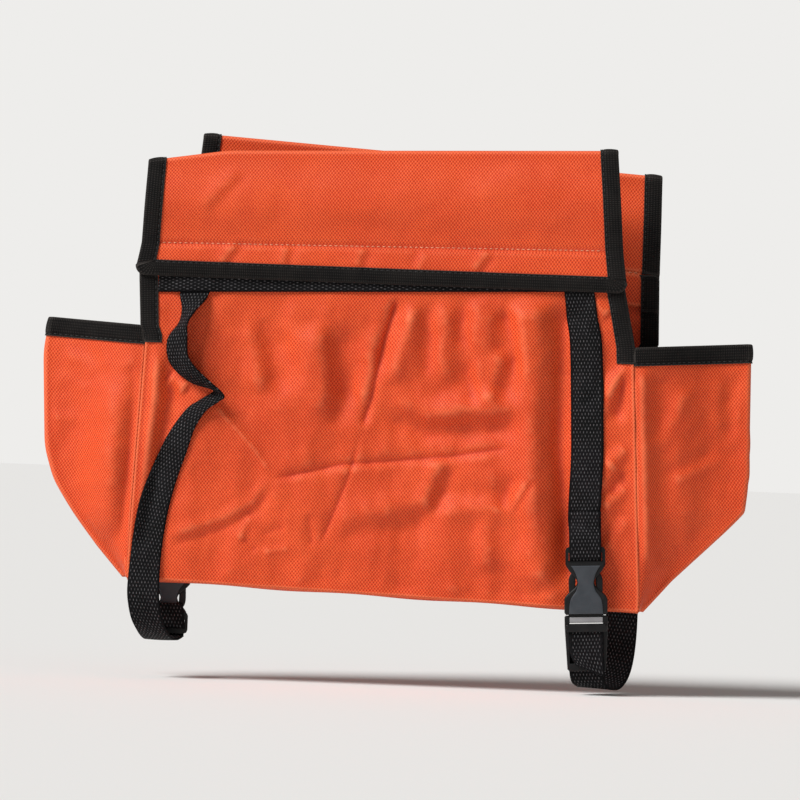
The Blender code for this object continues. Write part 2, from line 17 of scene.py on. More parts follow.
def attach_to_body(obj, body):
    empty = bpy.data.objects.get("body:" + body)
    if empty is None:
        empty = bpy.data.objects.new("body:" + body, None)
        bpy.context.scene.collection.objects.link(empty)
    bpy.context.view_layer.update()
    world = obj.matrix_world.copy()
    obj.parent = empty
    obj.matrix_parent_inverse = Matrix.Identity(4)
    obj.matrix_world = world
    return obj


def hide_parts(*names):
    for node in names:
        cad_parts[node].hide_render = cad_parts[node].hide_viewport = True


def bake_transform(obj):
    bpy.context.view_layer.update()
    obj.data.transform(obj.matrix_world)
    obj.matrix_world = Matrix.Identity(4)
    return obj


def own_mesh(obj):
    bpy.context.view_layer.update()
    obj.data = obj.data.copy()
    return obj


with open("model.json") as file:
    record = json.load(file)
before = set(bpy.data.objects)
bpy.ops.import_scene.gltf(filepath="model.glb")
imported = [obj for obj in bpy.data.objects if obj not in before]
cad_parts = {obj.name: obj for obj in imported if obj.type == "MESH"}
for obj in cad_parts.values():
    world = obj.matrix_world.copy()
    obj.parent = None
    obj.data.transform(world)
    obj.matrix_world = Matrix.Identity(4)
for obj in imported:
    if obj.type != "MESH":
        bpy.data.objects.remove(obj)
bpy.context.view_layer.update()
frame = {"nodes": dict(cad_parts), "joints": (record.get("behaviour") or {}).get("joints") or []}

MM = 0.001
X, Y, Z = 0, 1, 2

# Thicknesses and widths, in millimetres
CLOTH = 1.0
TAPE = 0.8
GAP = 0.3
BINDING_LEG = 13.0
WEBBING, WEBBING_WIDTH = 1.4, 25.0
STRAP_OUT = CLOTH / 2 + GAP + WEBBING / 2

# The sleeve: its layers' distance from the wall's cloth, their bulge, and how far the hem stands off
LAYER_STEP = 2.6
SLEEVE_BULGE_OUT, SLEEVE_BULGE_IN = 5.0, 4.0
HEM_FLARE, HEM_CORNER = 1.0, 7.0

# The rear sleeve's right end and hem lie this much further out than their nodes
REAR_END_DRIFT = 3.5

# Buckles, measured from the mouth of the socket
SOCKET_THICKNESS, SOCKET_FRAME, PLUG_THICKNESS = 10.4, 4.0, 4.6
SOCKET_BAR, PLUG_BAR = (48.5, 53.0), (-17.2, -12.2)
ARM_PIVOT_HEIGHT = 7.5

# Ears: the radius at their fold, and how early their two layers come together
EAR_FOLD_RADIUS, EAR_CLOSING = 3.0, 1.15

# The height of the ridge along a seam, and the distance between stitches and their length
SEAM_RIDGE = 0.9
STITCH_PITCH, STITCH_LENGTH = 4.4, 3.0

# Weaves: distance between threads across, and between rows along
CLOTH_PITCH, CLOTH_ROW = 2.55, 1.575
RIB_PITCH = 1.45
FLECK_PITCH, FLECK_ROW = 2.6, 2.85


# ---- Reading the frame ----


def node_points(node):
    mesh = frame["nodes"][node].data
    return np.array([v.co for v in mesh.vertices]) / MM


class Outline:
    """Where the CAD sheet of a node starts and ends, read from its mesh."""

    def __init__(self, node):
        mesh = frame["nodes"][node].data
        points = node_points(node)
        edges = np.array([e.vertices for e in mesh.edges])
        self.a, self.b = points[edges[:, 0]], points[edges[:, 1]]
        self.low, self.high = points.min(0), points.max(0)

    def edge(self, axis, along, upper, ease=0.0, trim=0.6):
        """The sheet's lowest or highest coordinate along one axis, as a function of the place on another.

        The last few millimetres (trim) at each end, where the sheet's ends may slant, are left out and
        the edge runs on straight.
        """
        step = 2.0
        places = np.arange(self.low[axis] + trim, self.high[axis] - trim, step)
        values = []
        for place in places:
            a, b = self.a[:, axis] - place, self.b[:, axis] - place
            cut = (a * b <= 0) & (a != b)
            share = (a / np.where(a == b, 1, a - b))[cut]
            value = self.a[cut, along] + share * (self.b[cut, along] - self.a[cut, along])
            values.append(value.max() if upper else value.min())
        values = np.array(values)
        if ease:
            reach = max(1, round(ease / step))
            padded = np.pad(values, reach, mode="reflect", reflect_type="odd")
            kernel = np.hanning(2 * reach + 3)[1:-1]
            values = np.convolve(padded, kernel / kernel.sum(), mode="valid")
        beyond, back = 60.0, 4
        first = values[0] - (values[back] - values[0]) / (places[back] - places[0]) * beyond
        last = values[-1] + (values[-1] - values[-1 - back]) / (places[-1] - places[-1 - back]) * beyond
        places = np.concatenate([[places[0] - beyond], places, [places[-1] + beyond]])
        values = np.concatenate([[first], values, [last]])
        return lambda at: np.interp(at, places, values)


def joint(name):
    return next(j for j in frame["joints"] if j["name"] == name)


# ---- Materials ----


def setup(thing, **values):
    for key, value in values.items():
        setattr(thing, key, value)


def linear(red, green, blue):
    """A colour from its 0 to 255 display values."""
    values = (value / 255 for value in (red, green, blue))
    return (*(v / 12.92 if v <= 0.04045 else ((v + 0.055) / 1.055) ** 2.4 for v in values), 1.0)


class Look:
    """A Principled material, with short ways to add nodes to it. Colours are 0 to 255 display values."""

    def __init__(self, name, **values):
        self.material = bpy.data.materials.new(name)
        self.material.use_nodes = True
        self.tree = self.material.node_tree
        self.surface = self.tree.nodes["Principled BSDF"]
        self.fill(self.surface, {key.replace("_", " "): value for key, value in values.items()})

    def fill(self, node, inputs):
        for key, value in inputs.items():
            if isinstance(value, bpy.types.NodeSocket):
                self.tree.links.new(value, node.inputs[key])
            else:
                node.inputs[key].default_value = value

    def add(self, kind, inputs=(), output=0, **settings):
        node = self.tree.nodes.new(f"ShaderNode{kind}")
        setup(node, **settings)
        self.fill(node, dict(inputs))
        return node.outputs[output]

    def math(self, operation, *values):
        return self.add("Math", enumerate(values), operation=operation)

    def plus(self, a, b):
        return self.math("ADD", a, b)

    def times(self, a, b):
        return self.math("MULTIPLY", a, b)

    def wave(self, value, pitch):
        return self.math("COSINE", self.times(value, 2 * math.pi / pitch))

    def ramp(self, value, low, high, to_low=0.0, to_high=1.0):
        """A value mapped smoothly from one range to another."""
        inputs = enumerate((value, low, high, to_low, to_high))
        return self.add("MapRange", inputs, interpolation_type="SMOOTHSTEP")

    def noise(self, place, scale, detail=2.0, roughness=0.5):
        inputs = {"Vector": place, "Scale": scale, "Detail": detail, "Roughness": roughness}
        return self.add("TexNoise", inputs)

    def cloud(self, place, scale, detail=3.0, to_low=0.0, to_high=1.0):
        """Soft patches between two values."""
        return self.ramp(self.noise(place, scale, detail), 0.3, 0.7, to_low, to_high)

    def crease(self, low, high, most):
        """The share of a tint on the cloth's ridges, or in its valleys where high is less than low."""
        return self.ramp(self.add("NewGeometry", output=7), low, high, 0.0, most)

    def mix(self, a, b, share):
        a, b = (linear(*colour) if isinstance(colour, tuple) else colour for colour in (a, b))
        return self.add("Mix", {0: share, 6: a, 7: b}, 2, data_type="RGBA")

    def weave_place(self, wobble):
        """The place in the weave in millimetres: the UV vector, then across and along, a little uneven."""
        place = self.add("UVMap", uv_map="weave")
        sway = self.cloud(place, 0.35, 1.0, -wobble, wobble)
        return place, *(self.plus(self.add("SeparateXYZ", {0: place}, way), sway) for way in (0, 1))

    def finish(self, colour, height, depth, roughness=None):
        """The material with its colour and roughness, and with bumps of a depth in millimetres."""
        bump = self.add("Bump", {"Height": height, "Distance": depth * MM, "Strength": 1.0})
        self.fill(self.surface, {"Base Color": colour, "Normal": bump})
        if roughness:
            self.fill(self.surface, {"Roughness": roughness})
        return self.material


def cloth_look():
    """Coated basket-weave cloth: rows of threads with small pits between them, with painted shade in the pits
    and painted highlights on the threads, lighter on its ridges (partly wear, partly painted highlight) and
    painted shade in its valleys.
    """
    look = Look("orange_cloth", Specular_IOR_Level=0.28, Sheen_Weight=0.05, Sheen_Tint=linear(255, 170, 120))
    place, across, along = look.weave_place(0.16)
    grain = look.times(look.wave(across, CLOTH_PITCH), look.wave(along, 2 * CLOTH_ROW))
    pits, dots = look.ramp(grain, -0.15, -0.95, 0.0, 0.95), look.ramp(grain, 0.3, 0.95, 0.0, 0.55)
    blotches = look.ramp(look.noise(place, 0.08, 3.0, 0.6), 0.35, 0.75, 0.0, 0.35)
    colour = look.mix((218, 70, 24), (231, 82, 32), look.cloud(place, 0.012))
    colour = look.mix(colour, (216, 64, 26), blotches)
    # Painted shade in the weave's pits, and painted highlights on its threads
    colour = look.mix(colour, (156, 28, 9), pits)
    colour = look.mix(colour, (252, 134, 86), dots)
    # Lighter on the cloth's ridges: partly wear, partly painted highlight
    colour = look.mix(colour, (250, 128, 84), look.crease(0.503, 0.535, 0.45))
    # Painted shade in the cloth's valleys
    colour = look.mix(colour, (176, 42, 22), look.crease(0.497, 0.465, 0.5))
    fibres = look.noise(place, 2.4)
    height = look.plus(grain, look.times(fibres, 0.5))
    return look.finish(colour, height, 0.12, look.ramp(fibres, 0.2, 0.8, 0.5, 0.68))


def binding_look():
    """Ribbed tape: fine ribs across its length, each broken into short dots, with painted highlights on the
    ribs' crests.
    """
    look = Look("black_binding", Specular_IOR_Level=0.1)
    place, across, along = look.weave_place(0.1)
    ribs = look.wave(along, RIB_PITCH)
    dots = look.times(ribs, look.wave(across, 1.5 * RIB_PITCH))
    rib_highlights = look.ramp(look.plus(ribs, look.times(dots, 0.8)), 0.5, 1.6)
    colour = look.mix((15, 14, 14), (24, 22, 21), look.cloud(place, 0.06))
    # Painted highlights on the crests of the ribs
    colour = look.mix(colour, (72, 67, 64), look.times(rib_highlights, 0.5))
    colour = look.mix(colour, (92, 86, 82), look.crease(0.51, 0.56, 0.3))
    height = look.plus(ribs, look.times(look.noise(place, 2.6), 0.6))
    return look.finish(colour, height, 0.14, look.ramp(rib_highlights, 0.0, 1.0, 0.8, 0.55))


def webbing_look():
    """Woven strap: offset rows of short bright flecks between dark threads, with plain edges; the flecks are
    painted highlights on the thread floats.
    """
    look = Look("black_webbing", Specular_IOR_Level=0.1)
    place, across, along = look.weave_place(0.12)
    grain = look.times(look.wave(across, FLECK_PITCH), look.wave(along, 2 * FLECK_ROW))
    between_edges = look.ramp(look.math("ABSOLUTE", across), 11.6, 11.0)
    flecks = look.times(look.ramp(grain, 0.35, 0.9), between_edges)
    flecks = look.times(flecks, look.cloud(place, 0.22, 3.0, 0.35, 1.0))
    colour = look.mix((10, 10, 11), (19, 18, 20), look.cloud(place, 0.05))
    # The bright flecks are painted highlights on the thread floats
    colour = look.mix(colour, (112, 110, 112), look.times(flecks, 0.75))
    height = look.plus(grain, look.times(look.wave(across, 1.3), 0.4))
    return look.finish(colour, height, 0.22, look.ramp(flecks, 0.0, 1.0, 0.75, 0.45))


def plastic_look(name, colour, worn=0.0):
    """Moulded plastic with a fine grain, a little lighter on its edges: partly wear where they are handled,
    partly painted highlight.
    """
    look = Look(name, Specular_IOR_Level=0.3)
    place = look.add("TexCoord", output=3)
    tint = look.mix(colour, tuple(value + 7 for value in colour), look.cloud(place, 120.0))
    # Lighter edges: partly wear, partly painted highlight
    tint = look.mix(tint, (104, 108, 114), look.crease(0.52, 0.6, worn))
    return look.finish(tint, look.noise(place, 2600.0), 0.03, look.cloud(place, 120.0, 3.0, 0.34, 0.48))


def thread_look(name, colour):
    """Twisted thread."""
    look = Look(name, Roughness=0.55, Sheen_Weight=0.2)
    twist = look.noise(look.add("TexCoord", output=3), 1800.0, 1.0)
    tint = look.mix(tuple(0.8 * value for value in colour), colour, look.ramp(twist, 0.3, 0.7))
    return look.finish(tint, twist, 0.05)


CLOTH_LOOK = cloth_look()
BINDING_LOOK = binding_look()
WEBBING_LOOK = webbing_look()
PLASTIC_LOOK = plastic_look("black_plastic", (9, 9, 10))
# The socket's face plates: the same plastic as the black body, made lighter partly for a greyer matte face
# and partly as painted light on the lit face
SLATE_LIT_FACE_LOOK = plastic_look("slate_plastic", (54, 58, 63), 0.4)
# The plug's stop bar: light grey as a painted highlight on the dark plastic
STOP_HIGHLIGHT_LOOK = plastic_look("worn_plastic", (138, 137, 139))
PEACH_THREAD = thread_look("peach_thread", (255, 176, 132))
BLACK_THREAD = thread_look("black_thread", (22, 21, 21))


# ---- Sheets ----


def add_object(name, data):
    obj = bpy.data.objects.new(name, data)
    bpy.context.scene.collection.objects.link(obj)
    return obj


def mesh_object(name, points, faces, material, uv=None):
    """A smooth mesh from points in millimetres, with an optional UV place for each point."""
    mesh = bpy.data.meshes.new(name)
    mesh.from_pydata((np.asarray(points) * MM).tolist(), [], np.asarray(faces).tolist())
    if uv is not None:
        corners = np.zeros(len(mesh.loops), np.int32)
        mesh.loops.foreach_get("vertex_index", corners)
        layer = mesh.uv_layers.new(name="weave")
        layer.data.foreach_set("uv", np.asarray(uv, np.float32)[corners].ravel())
    mesh.shade_smooth()
    mesh.materials.append(material)
    return add_object(name, mesh)


def grid_uv(points, centred=True):
    """UV in millimetres: distance across each row, from its middle or its start, and along the columns."""
    across = np.linalg.norm(np.diff(points, axis=1), axis=2)
    u = np.concatenate([np.zeros((len(points), 1)), np.cumsum(across, axis=1)], axis=1)
    if centred:
        u -= u[:, -1:] / 2
    along = np.linalg.norm(np.diff(points, axis=0), axis=2).mean(1)
    v = np.concatenate([[0], np.cumsum(along)])
    return np.stack([u, np.broadcast_to(v[:, None], u.shape)], axis=2)


def sheet(name, points, material, thickness, uv=None):
    """A sheet through a grid of points (rows x columns x 3), thickened evenly about them."""
    points = np.asarray(points, float)
    rows, columns = points.shape[:2]
    uv = grid_uv(points) if uv is None else uv
    index = np.arange(rows * columns).reshape(rows, columns)
    faces = np.stack([index[:-1, :-1], index[:-1, 1:], index[1:, 1:], index[1:, :-1]], axis=2)
    obj = mesh_object(name, points.reshape(-1, 3), faces.reshape(-1, 4), material, uv.reshape(-1, 2))
    setup(obj.modifiers.new("thickness", "SOLIDIFY"), thickness=thickness * MM, offset=0.0)
    return obj


def smooth_path(points, step):
    """Points at an even step along a Catmull-Rom curve through the given points (any number of values)."""
    points = np.asarray(points, float)
    ends = np.concatenate([[2 * points[0] - points[1]], points, [2 * points[-1] - points[-2]]])
    fine = []
    for n in range(1, len(ends) - 2):
        p0, p1, p2, p3 = ends[n - 1 : n + 3]
        t = np.linspace(0, 1, 24, endpoint=False)[:, None]
        bend, twist = 2 * p0 - 5 * p1 + 4 * p2 - p3, 3 * p1 - p0 - 3 * p2 + p3
        fine.append(0.5 * (2 * p1 + (p2 - p0) * t + bend * t**2 + twist * t**3))
    fine = np.concatenate(fine + [points[-1:]])
    return even_path(fine, step)


def even_path(points, step):
    """The same path with its points at an even step, measured on the first three values."""
    points = np.asarray(points, float)
    length = np.concatenate([[0], np.cumsum(np.linalg.norm(np.diff(points[:, :3], axis=0), axis=1))])
    count = max(2, round(length[-1] / step) + 1)
    at = np.linspace(0, length[-1], count)
    return np.stack([np.interp(at, length, points[:, n]) for n in range(points.shape[1])], axis=1)


def smoothstep(low, high, value):
    t = np.clip((np.asarray(value, float) - low) / (high - low), 0, 1)
    return t * t * (3 - 2 * t)


# ---- Folds and creases ----


def along_path(path, taper, x, z):
    """Signed distance from a path of (x, z) points, and a share that fades towards the path's ends."""
    path = np.asarray(path, float)
    lengths = np.linalg.norm(np.diff(path, axis=0), axis=1)
    starts = np.concatenate([[0], np.cumsum(lengths)])
    nearest, share = np.full(x.shape, 1e9), np.zeros(x.shape)
    for n, (a, b) in enumerate(zip(path, path[1:])):
        d = b - a
        t = np.clip(((x - a[0]) * d[0] + (z - a[1]) * d[1]) / (d @ d), 0, 1)
        px, pz = x - a[0] - t * d[0], z - a[1] - t * d[1]
        distance = np.hypot(px, pz)
        near = distance < np.abs(nearest)
        nearest = np.where(near, np.where(d[0] * pz - d[1] * px >= 0, distance, -distance), nearest)
        share = np.where(near, (starts[n] + t * lengths[n]) / starts[-1], share)
    return nearest, smoothstep(0, taper, share) * smoothstep(0, taper, 1 - share)


def fold(path, height, width, sharp=0.0, taper=0.25):
    """A fold along a path: a ridge where height is positive, a valley where it is negative.

    sharp (0 to 1) moves its section from a smooth hump to a crease.
    """

    def lift(x, z):
        distance, ends = along_path(path, taper, x, z)
        hump = np.exp(-((distance / width) ** 2))
        crease = np.exp(-np.sqrt((distance / width) ** 2 + 0.02) * 1.6)
        return height * ends * ((1 - sharp) * hump + sharp * crease)

    return lift


def slope(path, rise, width, taper=0.25):
    """The cloth climbs by rise from the right-hand side of a path to its left-hand side, then levels out."""

    def lift(x, z):
        distance, ends = along_path(path, taper, x, z)
        return rise * ends * (distance / width) * np.exp(-((distance / width) ** 2)) * 1.17

    return lift


def rumple(scale, height, seed, stretch=(1.0, 1.0)):
    """Gentle unevenness, as cloth has that was folded and pulled flat again."""

    def lift(x, z):
        flat = np.zeros(x.size)
        for n, (a, b) in enumerate(zip(x.ravel(), z.ravel())):
            place = Vector((a / scale / stretch[0], b / scale / stretch[1], seed * 7.3))
            flat[n] = noise.noise(place) + 0.45 * noise.noise(place * 2.1) + 0.2 * noise.noise(place * 4.3)
        return height * flat.reshape(x.shape)

    return lift


def lifts(parts, x, z):
    x, z = np.broadcast_arrays(np.asarray(x, float), np.asarray(z, float))
    return sum((part(x, z) for part in parts), np.zeros(x.shape))


# ---- The walls ----


class Wall:
    """The front or rear wall of the pouch, as read from its nodes."""

    def __init__(self, name, side, body, folds, sleeve_folds, drift_left, drift_right):
        self.name, self.side, self.body = name, side, body
        self.folds, self.sleeve_folds = folds, sleeve_folds
        self.fineness = (190, 270) if side < 0 else (122, 172)
        panel, band, hem = (Outline(f"{name}_{part}") for part in ("panel", "band", "hem"))
        tape = Outline(f"{name}_top_tape")
        points = node_points(f"{name}_panel")
        self.depth = np.polyfit(points[:, Z], np.abs(points[:, Y]), 2)
        plain_left, plain_right = (panel.edge(Z, X, upper, ease=14, trim=4) for upper in (False, True))
        self.bottom = panel.edge(X, Z, False, trim=12)
        # Below this height over the slanting bottom, the side edges run on straight to their corners
        corner = 14.0
        foot_left, foot_right = (float(self.bottom(end)) + corner for end in (panel.low[X], panel.high[X]))
        self.left = lambda z: plain_left(np.maximum(z, foot_left)) + np.interp(z, *zip(*drift_left))
        self.right = lambda z: plain_right(np.maximum(z, foot_right)) + np.interp(z, *zip(*drift_right))
        self.panel_top = panel.edge(X, Z, True, trim=34)
        self.fold = band.edge(X, Z, True, ease=10, trim=12)
        self.stitch, self.hem_line = (hem.edge(X, Z, upper, trim=10) for upper in (True, False))
        self.tape_low, self.tape_high = (tape.edge(X, Z, upper) for upper in (False, True))
        tape_left = float(self.left(tape.low[Z])) + BINDING_LEG
        self.tape_ends = (min(tape_left, tape.low[X]), tape.high[X])
        below_fold = 10.0
        self.ends = [(hem.low[X], hem.high[X])]
        for line, below in ((self.stitch, 0.0), (self.fold, below_fold)):
            corners = (band.low[X], False), (band.high[X], True)
            self.ends.append(tuple(float(band.edge(Z, X, upper)(line(x) - below)) for x, upper in corners))
        if self.side > 0:
            self.ends[:2] = [(start, end + REAR_END_DRIFT) for start, end in self.ends[:2]]

    def hem(self, x):
        """The hem's lower edge, with its corners rounded."""
        beside = np.minimum(x - self.ends[0][0], self.ends[0][1] - x)
        short = np.clip(HEM_CORNER - beside, 0, HEM_CORNER)
        return self.hem_line(x) + HEM_CORNER - np.sqrt(HEM_CORNER**2 - short**2)

    def hem_shares(self, count):
        """Shares along the hem, closer together round its corners."""
        corner = HEM_CORNER / (self.ends[0][1] - self.ends[0][0])
        turn = corner * (1 - np.cos(np.linspace(0, math.pi / 2, 12)))
        return np.concatenate([turn[:-1], np.linspace(corner, 1 - corner, count), 1 - turn[-2::-1]])

    def lift(self, x, z):
        """How far the wall's cloth stands out of its plain curve."""
        x, z = np.broadcast_arrays(np.asarray(x, float), np.asarray(z, float))
        under_tape = smoothstep(-4, 16, self.tape_low(x) - z)
        sides = smoothstep(1, 12, x - self.left(z)) * smoothstep(1, 12, self.right(z) - x)
        foot = 0.3 + 0.7 * smoothstep(0, 10, z - self.bottom(x))
        return lifts(self.folds, x, z) * under_tape * (0.3 + 0.7 * sides) * foot

    def point(self, x, z, out=0.0):
        """A point at a distance out from the wall's plain curve."""
        y = self.side * (np.polyval(self.depth, np.maximum(z, 0)) + out)
        return np.stack(np.broadcast_arrays(x, y, z), axis=-1).astype(float)

    def on(self, x, z, out=0.0):
        """A point at a distance out from the wall's cloth as it lies."""
        return self.point(x, z, self.lift(x, z) + out)

    def sleeve(self, level, share):
        """(x, z) on the sleeve: level is 0 at the hem's edge, 1 at the stitches and 2 under the fold."""
        left, right = (np.interp(level, (0, 1, 2), [end[n] for end in self.ends]) for n in (0, 1))
        x = left + (right - left) * share
        low, stitched, top = self.hem(x), self.stitch(x), self.fold(x) - CLOTH / 2 - LAYER_STEP
        z = low + (stitched - low) * level if level < 1 else stitched + (top - stitched) * (level - 1)
        return x, z

    def outer(self, x, z, out=0.0):
        """A point on the sleeve's outer layer, with its folds and the pucker along the stitched line."""
        x, z = np.broadcast_arrays(np.asarray(x, float), np.asarray(z, float))
        low, stitched, top = self.hem(x), self.stitch(x), self.fold(x) - CLOTH / 2 - LAYER_STEP
        drop = np.clip((stitched - z) / (stitched - low), 0, 1)
        height = np.clip((z - stitched) / (top - stitched), 0, 1)
        ends = smoothstep(0, 20, x - self.ends[1][0]) * smoothstep(0, 20, self.ends[1][1] - x)
        pucker = 1 + 0.3 * np.cos(2 * math.pi * x / STITCH_PITCH)
        dimple = 1.2 * pucker * np.exp(-(((z - stitched) / 2.2) ** 2))
        folds = lifts(self.sleeve_folds, x, z) * smoothstep(1, 0.75, height) * (0.25 + 0.75 * ends)
        bulge = SLEEVE_BULGE_OUT * np.sin(math.pi * height) ** 2
        away = LAYER_STEP + HEM_FLARE * (1 - (1 - drop) ** 3) + bulge + folds - dimple * ends
        return self.point(x, z, away + out)


def seam_ridge(from_seam):
    """The low ridge that the turned-in allowances make along a seam."""
    return SEAM_RIDGE * np.exp(-((from_seam / 2.2) ** 2))


def build_panel(wall):
    """The wall's cloth, up to its seams with the ears."""
    rows, columns = (np.linspace(0, 1, count) for count in wall.fineness)
    rows, columns = rows[:, None], columns[None, :]
    middle = (wall.left(100) + wall.right(100)) / 2
    z = wall.bottom(middle) + (wall.panel_top(middle) - wall.bottom(middle)) * rows
    # The edges slant, so each place depends on the other, and a few rounds settle them
    for _ in range(3):
        left, right = wall.left(z), wall.right(z)
        x = left + (right - left) * columns
        z = wall.bottom(x) + (wall.panel_top(x) - wall.bottom(x)) * rows
    under_notch = smoothstep(204, 190, z)
    ridge = seam_ridge(np.minimum(x - left, right - x)) * under_notch
    panel, uv = wall.on(x, z, ridge), np.stack([x, z], axis=2)
    cloth(f"{wall.name}_panel_cloth", panel, ride(wall.body), f"{wall.name}_panel", uv=uv)


def sleeve_point(wall, part, place, share, inward=0.0):
    """A point on the sleeve above its stitches, moved inward from the sleeve's end along the fold's slant.

    place is a height from 0 to 1 on the outer and inner layers, and an angle round the fold.
    """
    x, z = wall.sleeve(2 if part == "fold" else 1 + place, share)
    x, z = x + inward, z + wall.fold(x + inward) - wall.fold(x)
    if part == "outer":
        return wall.outer(x, z)
    if part == "inner":
        return wall.point(x, z, -LAYER_STEP - SLEEVE_BULGE_IN * math.sin(math.pi * place) ** 2)
    return wall.point(x, z + LAYER_STEP * math.sin(place), LAYER_STEP * math.cos(place))


def sleeve_rows(wall, shares):
    """The sleeve's points from the hem up the outer layer, over the fold and down the inner layer."""
    rows = [wall.outer(*wall.sleeve(n / 14, shares)) for n in range(14)]
    rows += [sleeve_point(wall, "outer", n / 34, shares) for n in range(35)]
    rows += [sleeve_point(wall, "fold", math.pi * n / 10, shares) for n in range(1, 10)]
    rows += [sleeve_point(wall, "inner", 1 - n / 26, shares) for n in range(27)]
    return np.array(rows)


def build_sleeve(wall):
    """The folded sleeve with its free hem, and the facing that lines the wall behind the hem."""
    shares = wall.hem_shares(168)
    rows = sleeve_rows(wall, shares)
    cloth(f"{wall.name}_sleeve_cloth", rows, hem_bend(wall), f"{wall.name}_band", f"{wall.name}_hem")
    facing = []
    for level in np.linspace(1, 0.03, 13):
        x, z = wall.sleeve(level, shares)
        inside = wall.left(z) + BINDING_LEG - 2, wall.right(z) - BINDING_LEG + 2
        facing.append(wall.point(np.clip(x, *inside), z, -LAYER_STEP))
    cloth(f"{wall.name}_facing", facing, ride(wall.body))
    x = np.linspace(wall.ends[1][0] + 14, wall.ends[1][1] - 14, 400)
    seams = wall.outer(x, wall.stitch(x), out=0.6), wall.point(x, wall.stitch(x), -LAYER_STEP - 0.7)
    for side, label, seam in zip((1, -1), ("outside", "inside"), seams):
        outward = np.array([0, wall.side * side, 0.0])
        thread = stitches(f"{wall.name}_sleeve_stitches_{label}", seam, outward, PEACH_THREAD)
        dress(thread, ride(wall.body), "orange_cloth")


# ---- Riding and baking ----


def ride(body):
    return lambda piece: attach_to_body(piece, body)


def hem_bend(wall):
    """Returns a step that bakes a piece's place into its mesh; the piece is not bent with the hem, and the
    points worked out below the stitched line are not used.
    """
    a, b = (wall.point(x, wall.stitch(x), LAYER_STEP) for x in (-100.0, 100.0))
    return lambda piece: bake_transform(piece)


def opening_bend(piece):
    """Bakes a piece's place into its mesh; the piece is not bent between the rear half of the pouch and the
    front wall.
    """
    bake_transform(piece)


def dress(piece, attach, slot, *nodes):
    """Attach a piece to its body and hide the nodes it stands for; slot is not used."""
    attach(piece)
    if nodes:
        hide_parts(*nodes)


def cloth(name, points, attach, *nodes, uv=None):
    dress(sheet(name, points, CLOTH_LOOK, CLOTH, uv), attach, "orange_cloth", *nodes)


# ---- Stitches and bindings ----


def stitches(name, path, outward, material):
    """A row of separate stitches along a path, each sinking into the cloth at its ends."""
    outward = np.broadcast_to(outward, np.shape(path))
    track = even_path(np.hstack([path, outward]), 0.25)
    steps = np.concatenate([[0], np.cumsum(np.linalg.norm(np.diff(track[:, :3], axis=0), axis=1))])
    starts = np.arange(STITCH_PITCH / 2, steps[-1] - STITCH_PITCH / 2, STITCH_PITCH)
    radius, sides, rings = 0.34, 6, np.linspace(-1, 1, 7)
    points, faces = [], []
    for start in starts:
        first = len(points)
        for ring in rings:
            at = start + ring * STITCH_LENGTH / 2
            places = at - 0.3, at, at + 0.3
            behind, place, ahead = (np.array([np.interp(x, steps, line) for line in track.T]) for x in places)
            along = (ahead - behind)[:3]
            along /= max(np.linalg.norm(along), 1e-6)
            up = place[3:] / np.linalg.norm(place[3:])
            across = np.cross(along, up)
            thick = radius * math.sqrt(max(1 - ring**2, 0.04))
            centre = place[:3] + up * 0.45 * (0.35 - ring**2)
            for n in range(sides):
                turn = 2 * math.pi * n / sides
                points.append(centre + thick * (math.cos(turn) * up + math.sin(turn) * across))
        for ring in range(len(rings) - 1):
            for n in range(sides):
                a, b = first + ring * sides + n, first + ring * sides + (n + 1) % sides
                faces.append((a, b, b + sides, a + sides))
    return mesh_object(name, points, faces, material)


def binding_section(leg):
    """(into, rise, side) places round folded tape, from one raw edge over the nose to the other.

    rise is the height over the tape's level on that side, and side runs from 1 on one leg to -1 on the
    other.
    """
    leg_places = []
    for share in (1.0, 0.96, 0.91, 0.86, 0.81, 0.74, 0.62, 0.48, 0.34, 0.2, 0.08):
        pinch = 0.5 * math.exp(-(((share - 0.86) / 0.05) ** 2))
        leg_places.append((share * leg, 0.5 * math.sin(math.pi * min(share / 0.9, 1)) - pinch, 1.0))
    turns = [math.pi * n / 6 for n in range(7)]
    nose = [(-1.3 * math.sin(turn), 0.0, math.cos(turn)) for turn in turns]
    return leg_places + nose + [(into, rise, -1.0) for into, rise, _ in reversed(leg_places)]


def binding(name, edge, deep, attach, nodes, leg=BINDING_LEG, extra=0.0):
    """Tape folded over an edge and stitched down, from the cloth's edge and the line its raw edges follow.

    extra is how much thicker than one cloth the layers under the second leg are, at each station.
    """
    edge, deep = np.asarray(edge, float), np.asarray(deep, float)
    along = np.gradient((edge + deep) / 2, axis=0)
    into = (deep - edge) / leg
    normal = np.cross(along, into)
    normal /= np.linalg.norm(normal, axis=1)[:, None]
    places = np.array(binding_section(leg))
    depth, rise, side = places[:, 0], places[:, 1], places[:, 2]
    base = CLOTH / 2 + GAP + TAPE / 2
    extra = np.broadcast_to(extra, len(edge))[:, None]
    away = side * (base + rise) - extra * (1 - side) / 2
    points = edge[:, None] + into[:, None] * depth[None, :, None] + normal[:, None] * away[:, :, None]
    dress(sheet(name, points, BINDING_LOOK, TAPE * 0.9), attach, "black_binding", *nodes)
    seam = edge + into * leg * 0.86
    for way, suffix in ((1, "a"), (-1, "b")):
        height = base + TAPE / 2 - 0.3 + (extra if way < 0 else 0.0)
        outward = normal * way
        thread = stitches(f"{name}_stitches_{suffix}", seam + outward * height, outward, BLACK_THREAD)
        dress(thread, attach, "black_binding")


